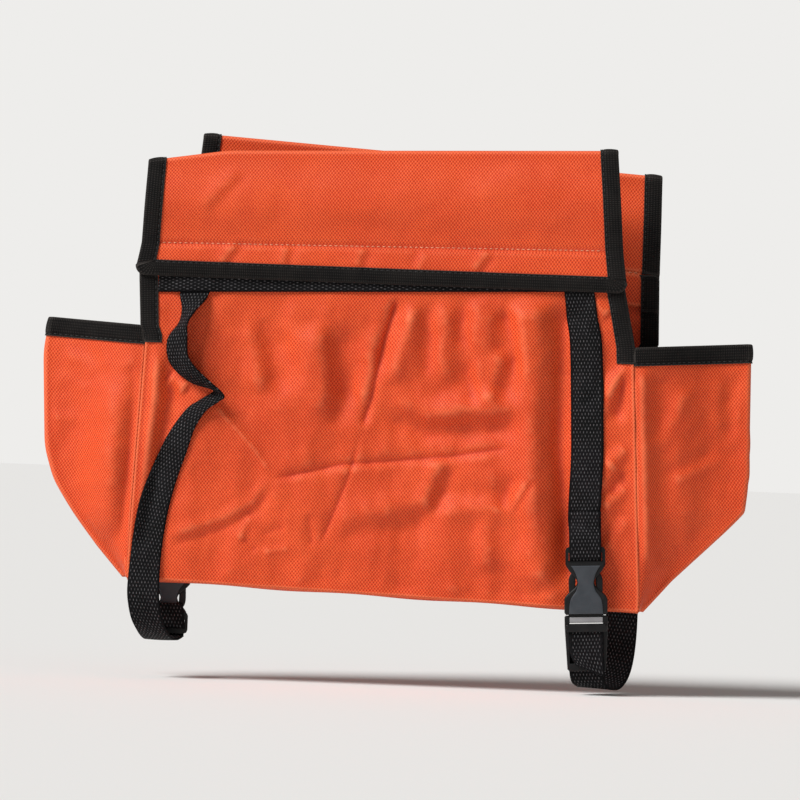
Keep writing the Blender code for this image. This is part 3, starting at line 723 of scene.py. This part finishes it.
def sleeve_binding(wall):
    """One tape: up one open end of the sleeve, over its fold and down the outer layer, along the hem's
    lower edge, and back over the other end."""
    leg, hem_leg = 12.5, 11.0

    def end_of(share, inward):
        """Stations from the inner layer's foot over the fold and down the outer layer to the hem."""
        places = [("inner", n / 24 - 0.02) for n in range(24)]
        places += [("fold", math.pi * n / 12) for n in range(11, 0, -1)]
        places += [("outer", 1 - n / 24) for n in range(24)]
        return [[sleeve_point(wall, *place, share, step) for step in (0.0, inward)] for place in places]

    def hem_station(level, share):
        x, z = (float(value) for value in wall.sleeve(level, share))
        low, stitched = float(wall.hem_line(x)), float(wall.stitch(x))
        inner_z = max(z, low + hem_leg)
        inner_level = (inner_z - low) / (stitched - low)
        left, right = (float(wall.sleeve(inner_level, end)[0]) for end in (0.0, 1.0))
        return wall.outer(x, z), wall.outer(np.clip(x, left + leg, right - leg), inner_z)

    stations = end_of(0.0, leg)
    stations += [hem_station(1 - n / 12, 0.0) for n in range(12)]
    stations += [hem_station(0.0, share) for share in wall.hem_shares(150)]
    stations += [hem_station((n + 1) / 12, 1.0) for n in range(12)]
    stations += reversed(end_of(1.0, -leg))
    edge, deep = zip(*stations)
    nodes = [f"{wall.name}_{part}" for part in ("left_band_binding", "hem_binding", "right_band_binding")]
    binding(f"{wall.name}_sleeve_binding", edge, deep, hem_bend(wall), nodes, leg)


def side_binding(wall, left):
    """Tape down the wall's free side edge, from behind the hem to the notch above the ear."""
    side = "left" if left else "right"
    node = f"{wall.name}_{side}_side_binding"
    points = node_points(node)
    below_notch = 12.0
    low, high = points[:, Z].min() - below_notch, float(wall.stitch(points[:, X].mean())) - 0.8
    inward = BINDING_LEG if left else -BINDING_LEG
    z = np.linspace(low, high, 60)
    if left != (wall.side > 0):
        z = z[::-1]
    x = (wall.left if left else wall.right)(z)
    over_facing = (LAYER_STEP + 0.3) * smoothstep(-5, -1, z - wall.hem_line(x))
    edge, deep = wall.on(x, z), wall.on(x + inward, z)
    binding(f"{wall.name}_{side}_side_tape", edge, deep, ride(wall.body), [node], extra=over_facing)


# ---- Ears and bottom ----


class Ear:
    """A side wall folded outwards into a flat ear: a front layer and a rear layer that meet at its fold."""

    def __init__(self, name, out, front, rear, folds, seed, drift):
        self.name, self.out, self.front, self.rear = name, out, front, rear
        self.folds = {"front": [*folds, rumple(34, 1.8, seed)], "rear": [rumple(34, 1.6, seed + 1)]}
        sheet_edge = Outline(f"{name}_gusset")
        plain_crease = sheet_edge.edge(Z, X, out > 0, ease=12)
        self.crease = lambda z: plain_crease(z) + out * np.interp(z, *zip(*drift))
        self.top = sheet_edge.edge(X, Z, True, ease=8, trim=14)
        self.bottom = float(node_points(f"{name}_gusset")[:, Z].min()) + CLOTH / 2
        self.reach = (sheet_edge.high if out > 0 else sheet_edge.low)[X]

    def seam(self, wall, z):
        edge = wall.left if self.out < 0 else wall.right
        return edge(z) + self.out * GAP / 2

    def layer(self, wall, share, row, height):
        """A point on one layer: share is 0 at the seam and 1 at the fold, height its nominal height."""
        z = self.bottom + (height - self.bottom) * row
        seam, centre = self.seam(wall, z), self.crease(z) - self.out * EAR_FOLD_RADIUS
        seam = self.seam(wall, self.bottom + (self.top(seam) - self.bottom) * row)
        x = seam + (centre - seam) * share
        z = self.bottom + (self.top(x) - self.bottom) * row
        depth = np.polyval(wall.depth, np.maximum(z, 0))
        spread = (depth - EAR_FOLD_RADIUS) * (0.5 + 0.5 * np.cos(math.pi * share)) ** EAR_CLOSING
        from_seam = np.abs(x - seam)
        inside = smoothstep(0, 9, from_seam) * smoothstep(0, 8, np.abs(centre - x))
        folds = lifts(self.folds[wall.name], x, z) * inside * (0.35 + 0.65 * smoothstep(1, 0.86, row))
        y = wall.side * (EAR_FOLD_RADIUS + spread + folds)
        return np.stack(np.broadcast_arrays(x, y, z), axis=-1)

    def section(self, row):
        """Points round the ear at a share of its height, from the front seam to the rear seam."""
        shares = np.linspace(0, 1, 64)
        height = float(self.top(self.reach))
        front = self.layer(self.front, shares, row, height)
        rear = self.layer(self.rear, shares[::-1], row, height)
        angles = np.linspace(0, math.pi, 11)[1:-1]
        centre = (front[-1] + rear[0]) / 2
        radius = np.linalg.norm(front[-1] - rear[0]) / 2
        arc = [centre + radius * np.array([self.out * math.sin(a), -math.cos(a), 0]) for a in angles]
        return np.concatenate([front, arc, rear])


def build_ear(ear):
    rows = [ear.section(row) for row in np.linspace(0, 1, 96)]
    uv = grid_uv(np.array(rows), centred=False)
    cloth(f"{ear.name}_ear_cloth", rows, opening_bend, f"{ear.name}_gusset", uv=uv)
    height = float(ear.top(ear.reach)) - ear.bottom
    leg = 13.5
    edge, deep = ear.section(1.0), ear.section(1.0 - leg / height)
    binding(f"{ear.name}_ear_tape", edge, deep, opening_bend, [f"{ear.name}_gusset_binding"], leg)


def build_bottom(front, rear):
    """The narrow bottom, sagging a little between its seams, its edges turned up inside the walls."""
    ends = node_points("bottom_panel")[:, X]
    xs = np.linspace(ends.min(), ends.max(), 150)
    allowance, clear = 6.0, CLOTH + 0.8
    profile = [(-1, allowance), (-1, allowance / 2), (-1, 1.2), (-0.985, 0.4)]
    profile += [(share, 0.0) for share in np.linspace(-0.95, 0.95, 20)]
    profile += [(-share, rise) for share, rise in reversed(profile[:4])]
    rows = []
    for share, rise in profile:
        wall = rear if share > 0 else front
        z = wall.bottom(xs) + rise + 0.2 - (1.6 + 0.6 * np.sin(xs / 17)) * (1 - share**2)
        depth = np.polyval(wall.depth, np.maximum(z, 0)) + np.minimum(wall.lift(xs, z), 0) - clear
        rows.append(np.stack([xs, share * depth, z], axis=1))
    cloth("bottom_cloth", rows, ride("pouch"), "bottom_panel")


# ---- Tape and straps ----


def build_top_tape(wall, straps):
    """Webbing sewn across the wall below the sleeve, lifted where a strap's end lies under it."""
    x = np.linspace(*wall.tape_ends, 150)
    rows = []
    for share in np.linspace(1, 0, 12):
        z = wall.tape_low(x) + (wall.tape_high(x) - wall.tape_low(x)) * share
        over = sum(smoothstep(20, 12, np.abs(x - strap)) for strap in straps) * smoothstep(0.75, 0.1, share)
        rows.append(wall.point(x, z, STRAP_OUT + (WEBBING + 0.2) * over))
    rows = np.array(rows).transpose(1, 0, 2)
    webbing(f"{wall.name}_tape_webbing", rows, ride(wall.body), f"{wall.name}_top_tape")


def webbing(name, points, attach, node):
    dress(sheet(name, points, WEBBING_LOOK, WEBBING), attach, "black_webbing", node)


def edges(wall, left, right, out_left, out_right):
    """A strap station, (middle, half width), from its (x, z) edges and their distances out from a wall."""
    a, b = wall.point(*left, out_left), wall.point(*right, out_right)
    return np.concatenate([(a + b) / 2, (b - a) / 2])


def level(wall, out, *middles):
    """Strap stations flat on a wall, from the (x, z) places of their middles."""
    half = WEBBING_WIDTH / 2
    return [edges(wall, (x - half, z), (x + half, z), out, out) for x, z in middles]


def flat(point, half=WEBBING_WIDTH / 2, tilt=0.0):
    """A strap station in free air, its width along X and turned by a tilt in degrees about Y."""
    turn = math.radians(tilt)
    return np.concatenate([point, [half * math.cos(turn), 0, -half * math.sin(turn)]])


def strap(name, stations, attach, wall, sag=0.0, free=0.0):
    """Webbing through stations of (middle, half width), on the folds of the wall above a free length."""
    path = smooth_path(stations, 1.6)
    middle, half = path[:, None, :3], path[:, None, 3:]
    across = np.linspace(-1, 1, 13)[None, :, None]
    normal = np.cross(np.gradient(path[:, :3], axis=0), path[:, 3:])
    normal /= np.linalg.norm(normal, axis=1)[:, None]
    points = middle + half * across + normal[:, None] * sag * (1 - across**2)
    x, y, z = points[:, :, X], points[:, :, Y], points[:, :, Z]
    near = smoothstep(14, 18, wall.side * y) * smoothstep(free - 2, free + 8, z - wall.bottom(x))
    points[:, :, Y] = y + wall.side * near * wall.lift(x, z)
    webbing(f"{name}_webbing", points, attach, f"{name}_strap")


def squash_to(wall, top):
    """Attaches a strap to the wall's body and gives it a mesh of its own; it is not squashed between its sewn
    end, at top, and a buckle's bar.
    """

    def attach(piece):
        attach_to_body(piece, wall.body)
        Vector(wall.point(*top) * MM)
        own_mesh(piece)

    return attach


def placed(place, points):
    """Points in a buckle's drawing, put where the buckle is."""
    return [np.array((place @ (Vector(point) * MM)) / MM) for point in points]


def turned(place, half, points):
    """Strap stations in a buckle's drawing, put where the buckle is and turned with it."""
    half = np.array(place.to_3x3() @ Vector((half, 0, 0)))
    return [np.concatenate([point, half]) for point in placed(place, points)]


def round_bar(bar, half_thickness, from_above, lead, tail, ease=0.3):
    """(0, y, z) places of webbing round a buckle's bar: down behind it on the lead side, round, and back."""
    radius = half_thickness + GAP + WEBBING / 2
    up = 1 if from_above else -1
    near = bar[0] + ease if from_above else bar[1] - ease
    turns = [math.pi * n / 8 for n in range(9)]
    arc = [(0, radius * math.cos(a), near - up * radius * math.sin(a)) for a in turns]
    return [(0, radius, near + up * lead)] + arc + [(0, -radius, near + up * tail)]


def buckle_place(name, lean_sign):
    """Where a buckle's drawing stands: Z runs from the socket's mouth to its loop, Y through it."""
    up = Vector(joint(f"{name}_release")["axis"]) * lean_sign
    pivots = [Vector(joint(f"{name}_{side}_arm_squeeze")["pos_m"]) for side in ("left", "right")]
    mouth = (pivots[0] + pivots[1]) / 2 - up * ARM_PIVOT_HEIGHT * MM
    turn = Matrix((Vector((up.z, 0, -up.x)), Vector((0, 1, 0)), up)).transposed().to_4x4()
    return Matrix.Translation(mouth) @ turn


def build_right_front_strap(front, place):
    """Down the front wall to the socket's loop bar, round it, and sewn back on itself in front."""
    top = float(front.tape_low(144)) + 3
    stations = [
        edges(front, left, right, STRAP_OUT, STRAP_OUT)
        for left, right in (
            ((130.5, top), (154.0, top + 1)),
            ((134, 222), (157.5, 224)),
            ((137, 205), (161.5, 206)),
            ((139, 174), (164, 175)),
            ((140.5, 140), (165.5, 141)),
            ((141.5, 112), (166.5, 113)),
        )
    ]
    sewn = 1.1
    loop = [(0, sewn, 82), (0, sewn, 68)] + round_bar(SOCKET_BAR, SOCKET_FRAME / 2, True, 11.0, 11.0, -3.6)
    loop += [(0, -sewn, 66), (0, -sewn, 80)]
    stations += turned(place, WEBBING_WIDTH / 2, loop)
    squash = squash_to(front, (144, top))
    strap("right_front", stations, squash, front, free=58.0)


def build_left_front_strap(front, place):
    """Down the front wall with a slack, twisted bend, under the bottom, and round the left socket's bar."""
    top = float(front.tape_low(-158)) + 3
    near = STRAP_OUT
    stations = [
        edges(front, left, right, out_left, out_right)
        for left, right, out_left, out_right in (
            ((-168.5, top), (-145, top + 1), near, near),
            ((-168, 226), (-147, 227), near, 4.0),
            ((-166, 217), (-155, 217), 2.5, 13.0),
            ((-168, 206), (-161, 207), 3.0, 16.3),
            ((-176, 194), (-161, 196), 3.5, 16.3),
            ((-176, 180), (-160, 181), 4.0, 16.3),
            ((-170, 170), (-153, 171), 4.5, 16.3),
            ((-156, 160), (-143, 162), 3.5, 16.0),
            ((-139, 155), (-131, 151), 2.0, 15.0),
            ((-149, 147), (-135, 146), 1.8, 11.0),
            ((-159, 140), (-145, 138), near, 6.0),
            ((-168, 128), (-153, 124), near, 3.0),
            ((-177, 112), (-158.5, 106), near, 2.0),
            ((-186, 90), (-165.5, 84), near, near),
            ((-194, 65), (-171, 61), near, near),
            ((-198, 40), (-174.5, 37), near, near),
            ((-200, 16), (-176, 15), near + 1, near + 1),
        )
    ]
    stations += [
        flat((-188.5, -25.0, -2)),
        flat((-187.5, -24.0, -14), tilt=3),
        flat((-185.0, -19.0, -26), 12.3, 4),
        flat((-181.0, -10.0, -35), 12.0, 4),
        flat((-177.5, 2.0, -40), 12.2, 2),
        flat((-174.0, 14.0, -42)),
    ]
    bar = placed(place, [(0, 0, sum(SOCKET_BAR) / 2)])[0]
    reach = math.hypot((SOCKET_BAR[1] - SOCKET_BAR[0]) / 2, SOCKET_FRAME / 2) + GAP + WEBBING / 2
    for n in range(9):
        turn = math.pi * (n / 8 - 0.5)
        stations.append(flat(bar + reach * np.array([0, math.cos(turn), math.sin(turn)])))
    front_face = float(bar[Y]) - SOCKET_THICKNESS / 2 - WEBBING
    tail = (-169, front_face + 2, -33.5), (-169.5, front_face, -28), (-171, front_face, -14)
    stations += [flat(point) for point in tail]
    strap("left_front", stations, opening_bend, front, sag=0.4)


def build_right_rear_strap(rear, place):
    """Down the rear wall, under the bottom, and up through the ladder lock of the right plug."""
    top = float(rear.tape_low(150)) + 3
    middles = (150, top), (152, top - 14), (156, 180), (166, 130), (176, 80), (184, 35), (187, 2)
    stations = level(rear, STRAP_OUT + 0.4, *middles)
    stations += [
        flat((187, 24, -28), tilt=6),
        flat((184, 17, -50), tilt=10),
        flat((178, 5, -62), tilt=10),
        flat((171, -9, -66), tilt=6),
        flat((164.5, -21.5, -64.5)),
    ]
    loop = round_bar(PLUG_BAR, PLUG_THICKNESS / 2, False, 35.0, 17.0, -1.2)
    stations += turned(place, WEBBING_WIDTH / 2 + 0.9, loop)
    tail = placed(place, [(1.5, -4.4, -39), (3, -4.8, -44)])
    stations += [flat(tail[0], tilt=12), flat(tail[1], tilt=20)]
    strap("right_rear", stations, opening_bend, rear)


def build_left_rear_strap(rear, place):
    """Down the rear wall to the ladder lock of the left plug."""
    top = float(rear.tape_low(-141)) + 3
    middles = (-141, top), (-143, top - 14), (-147, 190), (-157, 145), (-165, 108)
    stations = level(rear, STRAP_OUT + 0.4, *middles)
    loop = round_bar(PLUG_BAR, PLUG_THICKNESS / 2, False, 42.0, 27.0)
    stations += [flat(point) for point in placed(place, loop)]
    strap("left_rear", stations, squash_to(rear, (-141, top)), rear)


# ---- Buckles, drawn in X (across) and Z (along) with the socket's mouth at the origin ----


def moulding(name, place, outline, faces, round_off, look, attach, nodes=()):
    """A moulded plate with rounded edges, from its outline and its faces' places on the buckle's Y."""
    near, far = faces
    curve = bpy.data.curves.new(name, "CURVE")
    half = (abs(far - near) / 2 - round_off) * MM
    setup(curve, dimensions="2D", fill_mode="BOTH", extrude=half, bevel_resolution=3)
    setup(curve, bevel_depth=round_off * MM, offset=-round_off * MM)
    spline = curve.splines.new("POLY")
    spline.points.add(len(outline) - 1)
    for point, (x, z) in zip(spline.points, outline):
        point.co = (x * MM, z * MM, 0, 1)
    spline.use_cyclic_u = True
    drawn = add_object(name, curve)
    bpy.context.view_layer.update()
    mesh = bpy.data.meshes.new_from_object(drawn.evaluated_get(bpy.context.evaluated_depsgraph_get()))
    bpy.data.objects.remove(drawn)
    upright = Matrix.Rotation(math.radians(90), 4, "X")
    mesh.transform(place @ Matrix.Translation(Vector((0, (near + far) / 2, 0)) * MM) @ upright)
    bm = bmesh.new()
    bm.from_mesh(mesh)
    bmesh.ops.remove_doubles(bm, verts=bm.verts, dist=1e-6)
    bm.to_mesh(mesh)
    bm.free()
    mesh.shade_smooth()
    mesh.set_sharp_from_angle(angle=math.radians(40))
    mesh.materials.clear()
    mesh.materials.append(look)
    dress(add_object(name, mesh), attach, "black_plastic", *nodes)


def curved(points, step=0.7):
    """A smooth line of (x, z) points through a few."""
    return [(x, z) for x, z, _ in smooth_path([(x, z, 0) for x, z in points], step)]


def mirrored(half):
    """A closed outline from its right half, listed from the lowest point to the highest."""
    return half + [(-x, z) for x, z in reversed(half)]


def block(x, low, high, corner):
    """The right half of a rectangle with rounded corners."""
    turns = [math.pi / 2 * n / 5 for n in range(6)]
    foot = [(x - corner + corner * math.sin(a), low + corner - corner * math.cos(a)) for a in turns]
    head = [(x - corner + corner * math.cos(a), high - corner + corner * math.sin(a)) for a in turns]
    return foot + head


def build_buckle(name, place, socket, plug, outward):
    """Details over the buckle's nodes: face plates, the stop bar, the ladder lock's lip, and its arms.

    outward is the side of the buckle, along its Y, that faces away from the pouch.
    """
    face = [(13.2, 0.7), (13.2, 3), (12.8, 8), (11.9, 12), (10.2, 15), (8.0, 18), (6.6, 21.5), (6.2, 25)]
    face += [(6.8, 29), (8.2, 33), (10.0, 36.2), (11.5, 38.2)]
    plate, stop = mirrored(curved(face)), mirrored(block(12.9, -6.0, -1.9, 0.5))
    lip = mirrored(block(15.9, -13.4, -7.4, 1.6))
    for side, label in ((-1, "front"), (1, "back")):
        # The face plates are lighter than the black body: partly a greyer matte face, partly painted light
        faces = side * 3.5, side * 4.9
        moulding(f"{name}_socket_{label}_plate", place, plate, faces, 0.6, SLATE_LIT_FACE_LOOK, ride(socket))
        # The stop bar's light grey is a painted highlight
        faces = side * 2.0, side * 3.0
        moulding(f"{name}_plug_{label}_stop", place, stop, faces, 0.35, STOP_HIGHLIGHT_LOOK, ride(plug))
    faces = outward * 4.25, outward * 5.9
    moulding(f"{name}_ladder_lip", place, lip, faces, 0.7, PLASTIC_LOOK, ride(plug))
    arm = [(8.6, 6.2), (12.0, 6.4), (12.9, 12), (13.2, 20), (13.3, 26), (12.6, 30), (10.8, 32.6)]
    arm = curved(arm + [(8.8, 32.4), (7.9, 29), (8.1, 20), (8.2, 12), (8.6, 6.2)])[:-1]
    post = (13.5, -12.6), (16.2, -12.6), (16.2, -8.2), (13.5, -8.2)
    for side, label in ((-1, "left"), (1, "right")):
        outline = [(side * x, z) for x, z in post]
        faces = outward * 1.8, outward * 5.2
        moulding(f"{name}_ladder_{label}_post", place, outline, faces, 0.3, PLASTIC_LOOK, ride(plug))
        outline, body = [(side * x, z) for x, z in arm], f"{name}_{label}_arm"
        node = f"{name}_plug_{label}_arm"
        moulding(f"{name}_{label}_latch", place, outline, (-2.1, 2.1), 0.8, PLASTIC_LOOK, ride(body), [node])


# ---- Edges and folds of this pouch ----

# How far each wall's left and right edges lie from their nodes, as (height, distance) points
FRONT_DRIFT = [(196, 0), (204, -3), (245, -3.2), (269, 0)], [(200, 0), (240, -5.5), (276, -8.5)]
REAR_DRIFT = [(204, 0), (250, 2), (281, 6)], [(196, 0), (204, 4.5), (260, 3.5)]
# How far out each ear's fold lies from its node, as (height, distance) points
LEFT_EAR_DRIFT = [(6, -2), (30, 0)]
RIGHT_EAR_DRIFT = [(-6, -3), (20, 0), (34, 4), (60, 12), (75, 16), (97, 6), (120, 1.3), (140, 0)]

FRONT_FOLDS = [
    # The long crease from the hem, and the soft panes on both sides of it
    fold([(2, 236), (-8, 197), (-16, 155), (-23, 128)], -3.8, 4.2, 0.6, 0.1),
    slope([(13, 236), (3, 205), (-7, 162)], 5.0, 9),
    fold([(-23, 128), (-31, 94), (-41, 66), (-55, 30)], -1.7, 3.0, 0.8),
    slope([(-55, 215), (-48, 179), (-45, 154), (-54, 127)], -7.8, 12),
    slope([(-112, 212), (-101, 185), (-96, 152)], -4.6, 11),
    slope([(-83, 210), (-76, 178), (-80, 140)], 5.3, 14),
    slope([(-27, 212), (-24, 180), (-30, 142)], 4.6, 11),
    # Upright ripples under the hem
    slope([(17, 232), (20, 163)], -2.8, 9),
    slope([(31, 234), (32, 170)], 2.8, 8),
    slope([(45, 232), (48, 160)], -3.4, 10),
    slope([(58, 238), (58, 192)], 2.8, 8),
    slope([(77, 230), (79, 184)], -3.2, 9),
    slope([(88, 237), (95, 207), (102, 166)], 3.4, 7),
    slope([(61, 190), (69, 148)], 3.2, 8),
    slope([(89, 198), (80, 148)], -4.0, 9),
    # Bands and creases across the middle
    slope([(-16, 151), (28, 136), (112, 144)], 7.2, 12),
    slope([(20, 152), (104, 164)], -2.8, 12),
    fold([(-97, 86), (-37, 101), (45, 110), (98, 120)], -2.9, 4.2, 0.6, 0.12),
    fold([(-140, 145), (-106, 110), (-92, 91)], 2.0, 4.4, 0.6, 0.15),
    slope([(-172, 35), (-126, 53), (-104, 67), (-92, 86)], 2.6, 6, 0.15),
    slope([(48, 109), (38, 91), (31, 62)], -5.2, 9),
    slope([(32, 74), (100, 77)], -4.4, 11),
    slope([(-47, 50), (6, 61), (40, 71)], 4.4, 12),
    fold([(113, 96), (97, 64)], -2.8, 4.5, 0.5),
    slope([(105, 98), (91, 66)], 3.6, 8),
    fold([(77, 68), (78, 18)], 2.4, 8),
    slope([(48, 50), (122, 40)], -2.4, 16),
    # The dip beside the right strap
    slope([(119, 238), (119, 189), (119, 123), (124, 74), (132, 6)], -13, 17, 0.08),
    slope([(127, 236), (127, 189), (128, 123), (132, 74), (137, 16)], -4, 8, 0.15),
    # Small wrinkles low on the left
    fold([(-106, 60), (-117, 37)], 1.2, 4.0, 0.4),
    fold([(-114, 41), (-100, 30)], -1.2, 3.6, 0.4),
    fold([(-99, 30), (-74, 34)], 1.2, 3.6, 0.4),
    fold([(-62, 64), (-58, 34)], -1.5, 4.0, 0.4),
    fold([(-99, 43), (-79, 52)], -1.0, 4.0, 0.4),
    # Pulls beside the seams
    fold([(-176, 165), (-159, 154)], 3.1, 6),
    slope([(-180, 186), (-179, 150), (-187, 90), (-199, 24)], -7.5, 9, 0.15),
    fold([(152, 236), (167, 224)], 2.2, 5),
    fold([(182, 189), (166, 158)], 2.6, 6, 0.4),
    slope([(180, 183), (168, 141)], -4.3, 8),
    fold([(186, 124), (167, 105)], 2.6, 6),
    slope([(182, 109), (168, 86)], -2.8, 7),
    fold([(188, 94), (166, 72)], 2.6, 6),
    fold([(190, 70), (170, 38)], 2.2, 7),
    rumple(62, 4.0, 1, (0.8, 1.5)),
    rumple(24, 1.0, 2),
]
REAR_FOLDS = [
    fold([(-20, 214), (-8, 150), (14, 80), (20, 30)], -2.2, 8, 0.4),
    slope([(90, 200), (70, 140), (64, 96)], -2.4, 10),
    fold([(-90, 150), (-30, 128), (40, 130)], 1.6, 7),
    rumple(50, 1.6, 5, (0.8, 1.5)),
    rumple(18, 0.35, 6),
]
FRONT_SLEEVE_FOLDS = [
    slope([(-122, 331), (-129, 319), (-155, 291)], -1.6, 7),
    fold([(108, 344), (55, 315)], 1.4, 12),
    slope([(-122, 272), (-138, 250)], -1.8, 5),
    slope([(-84, 271), (-88, 252)], -1.6, 5),
    slope([(-24, 271), (-30, 253)], -1.6, 5),
    slope([(74, 271), (60, 253)], -1.8, 5),
    slope([(20, 270), (12, 254)], 1.4, 5),
    rumple(52, 1.2, 3, (1.4, 0.8)),
    rumple(14, 0.28, 4),
]
REAR_SLEEVE_FOLDS = [
    fold([(120, 330), (60, 300)], 1.4, 12),
    rumple(48, 1.3, 7, (1.4, 0.8)),
    rumple(14, 0.28, 8),
]
LEFT_EAR_FOLDS = [
    slope([(-203, 168), (-207, 90), (-214, 14)], -15.0, 20),
    slope([(-255, 186), (-228, 167)], -1.8, 8),
    fold([(-207, 174), (-193, 145)], -1.6, 6),
    fold([(-270, 130), (-243, 128)], 1.0, 5),
]
RIGHT_EAR_FOLDS = [
    slope([(197, 190), (202, 110), (209, 26)], -9.0, 15, 0.1),
    fold([(234, 177), (221, 145), (205, 117)], 1.8, 7),
    slope([(259, 188), (261, 129)], -2.2, 8),
    slope([(261, 124), (242, 111), (213, 98)], 2.0, 7),
    fold([(214, 40), (227, 44)], 1.0, 5),
]


# ---- Putting it together ----


def build():
    front = Wall("front", -1, "front", FRONT_FOLDS, FRONT_SLEEVE_FOLDS, *FRONT_DRIFT)
    rear = Wall("rear", 1, "pouch", REAR_FOLDS, REAR_SLEEVE_FOLDS, *REAR_DRIFT)
    for wall in (front, rear):
        build_panel(wall)
        build_sleeve(wall)
        sleeve_binding(wall)
        side_binding(wall, True)
        side_binding(wall, False)
    build_ear(Ear("left", -1, front, rear, LEFT_EAR_FOLDS, 9, LEFT_EAR_DRIFT))
    build_ear(Ear("right", 1, front, rear, RIGHT_EAR_FOLDS, 11, RIGHT_EAR_DRIFT))
    build_bottom(front, rear)
    build_top_tape(front, (-157, 142))
    build_top_tape(rear, (-141, 150))
    right, left = buckle_place("right", 1), buckle_place("left", -1)
    build_right_front_strap(front, right)
    build_left_front_strap(front, left)
    build_right_rear_strap(rear, right)
    build_left_rear_strap(rear, left)
    build_buckle("right", right, "right_socket", "front", -1)
    build_buckle("left", left, "pouch", "left_plug", 1)
    for name, node in frame["nodes"].items():
        if name.endswith(("_plug", "_socket")):
            node.data.materials.clear()
            node.data.materials.append(PLASTIC_LOOK)


def build_stage():
    """A pale floor, soft light from the upper left, and a square-on camera with a long lens."""
    floor_height, roll = -0.072, math.radians(2.2)
    field, lens, centre = 0.624, 300.0, Vector((0.0062, -0.03, 0.1528))
    middle = (0, 0, floor_height)
    bpy.ops.mesh.primitive_circle_add(vertices=128, radius=14, fill_type="NGON", location=middle)
    floor = bpy.context.object
    floor.name = "floor"
    paint = Look("pale_floor", Roughness=0.8)
    floor.data.materials.append(paint.material)
    paint.fill(paint.surface, {"Base Color": linear(235, 234, 232), "Specular IOR Level": 0.1})

    sun = bpy.data.lights.new("key", "SUN")
    setup(sun, energy=3.7, angle=math.radians(26))
    key = add_object("key", sun)
    key.rotation_euler = Vector((-0.58, -0.46, 0.67)).to_track_quat("Z", "Y").to_euler()

    camera_data = bpy.data.cameras.new("camera")
    setup(camera_data, lens=lens, sensor_width=36.0, clip_end=60.0)
    camera = add_object("camera", camera_data)
    distance = field / 2 * lens / (camera_data.sensor_width / 2)
    right = Vector((math.cos(roll), 0, math.sin(roll)))
    up = Vector((-math.sin(roll), 0, math.cos(roll)))
    turn = Matrix((right, up, Vector((0, -1, 0)))).transposed().to_4x4()
    camera.matrix_world = Matrix.Translation(centre + Vector((0, -distance, 0))) @ turn
    bpy.context.scene.camera = camera

    world = bpy.data.worlds.new("studio")
    world.use_nodes = True
    tree = world.node_tree
    background = tree.nodes["Background"]
    background.inputs["Color"].default_value = (1.0, 0.98, 0.96, 1.0)
    background.inputs["Strength"].default_value = 0.21
    backdrop = tree.nodes.new("ShaderNodeBackground")
    backdrop.inputs["Color"].default_value = linear(238, 237, 235)
    ray, choose = tree.nodes.new("ShaderNodeLightPath"), tree.nodes.new("ShaderNodeMixShader")
    tree.links.new(ray.outputs["Is Camera Ray"], choose.inputs[0])
    tree.links.new(background.outputs[0], choose.inputs[1])
    tree.links.new(backdrop.outputs[0], choose.inputs[2])
    tree.links.new(choose.outputs[0], tree.nodes["World Output"].inputs["Surface"])
    bpy.context.scene.world = world
    bpy.context.scene.view_settings.view_transform = "Standard"


build()
build_stage()
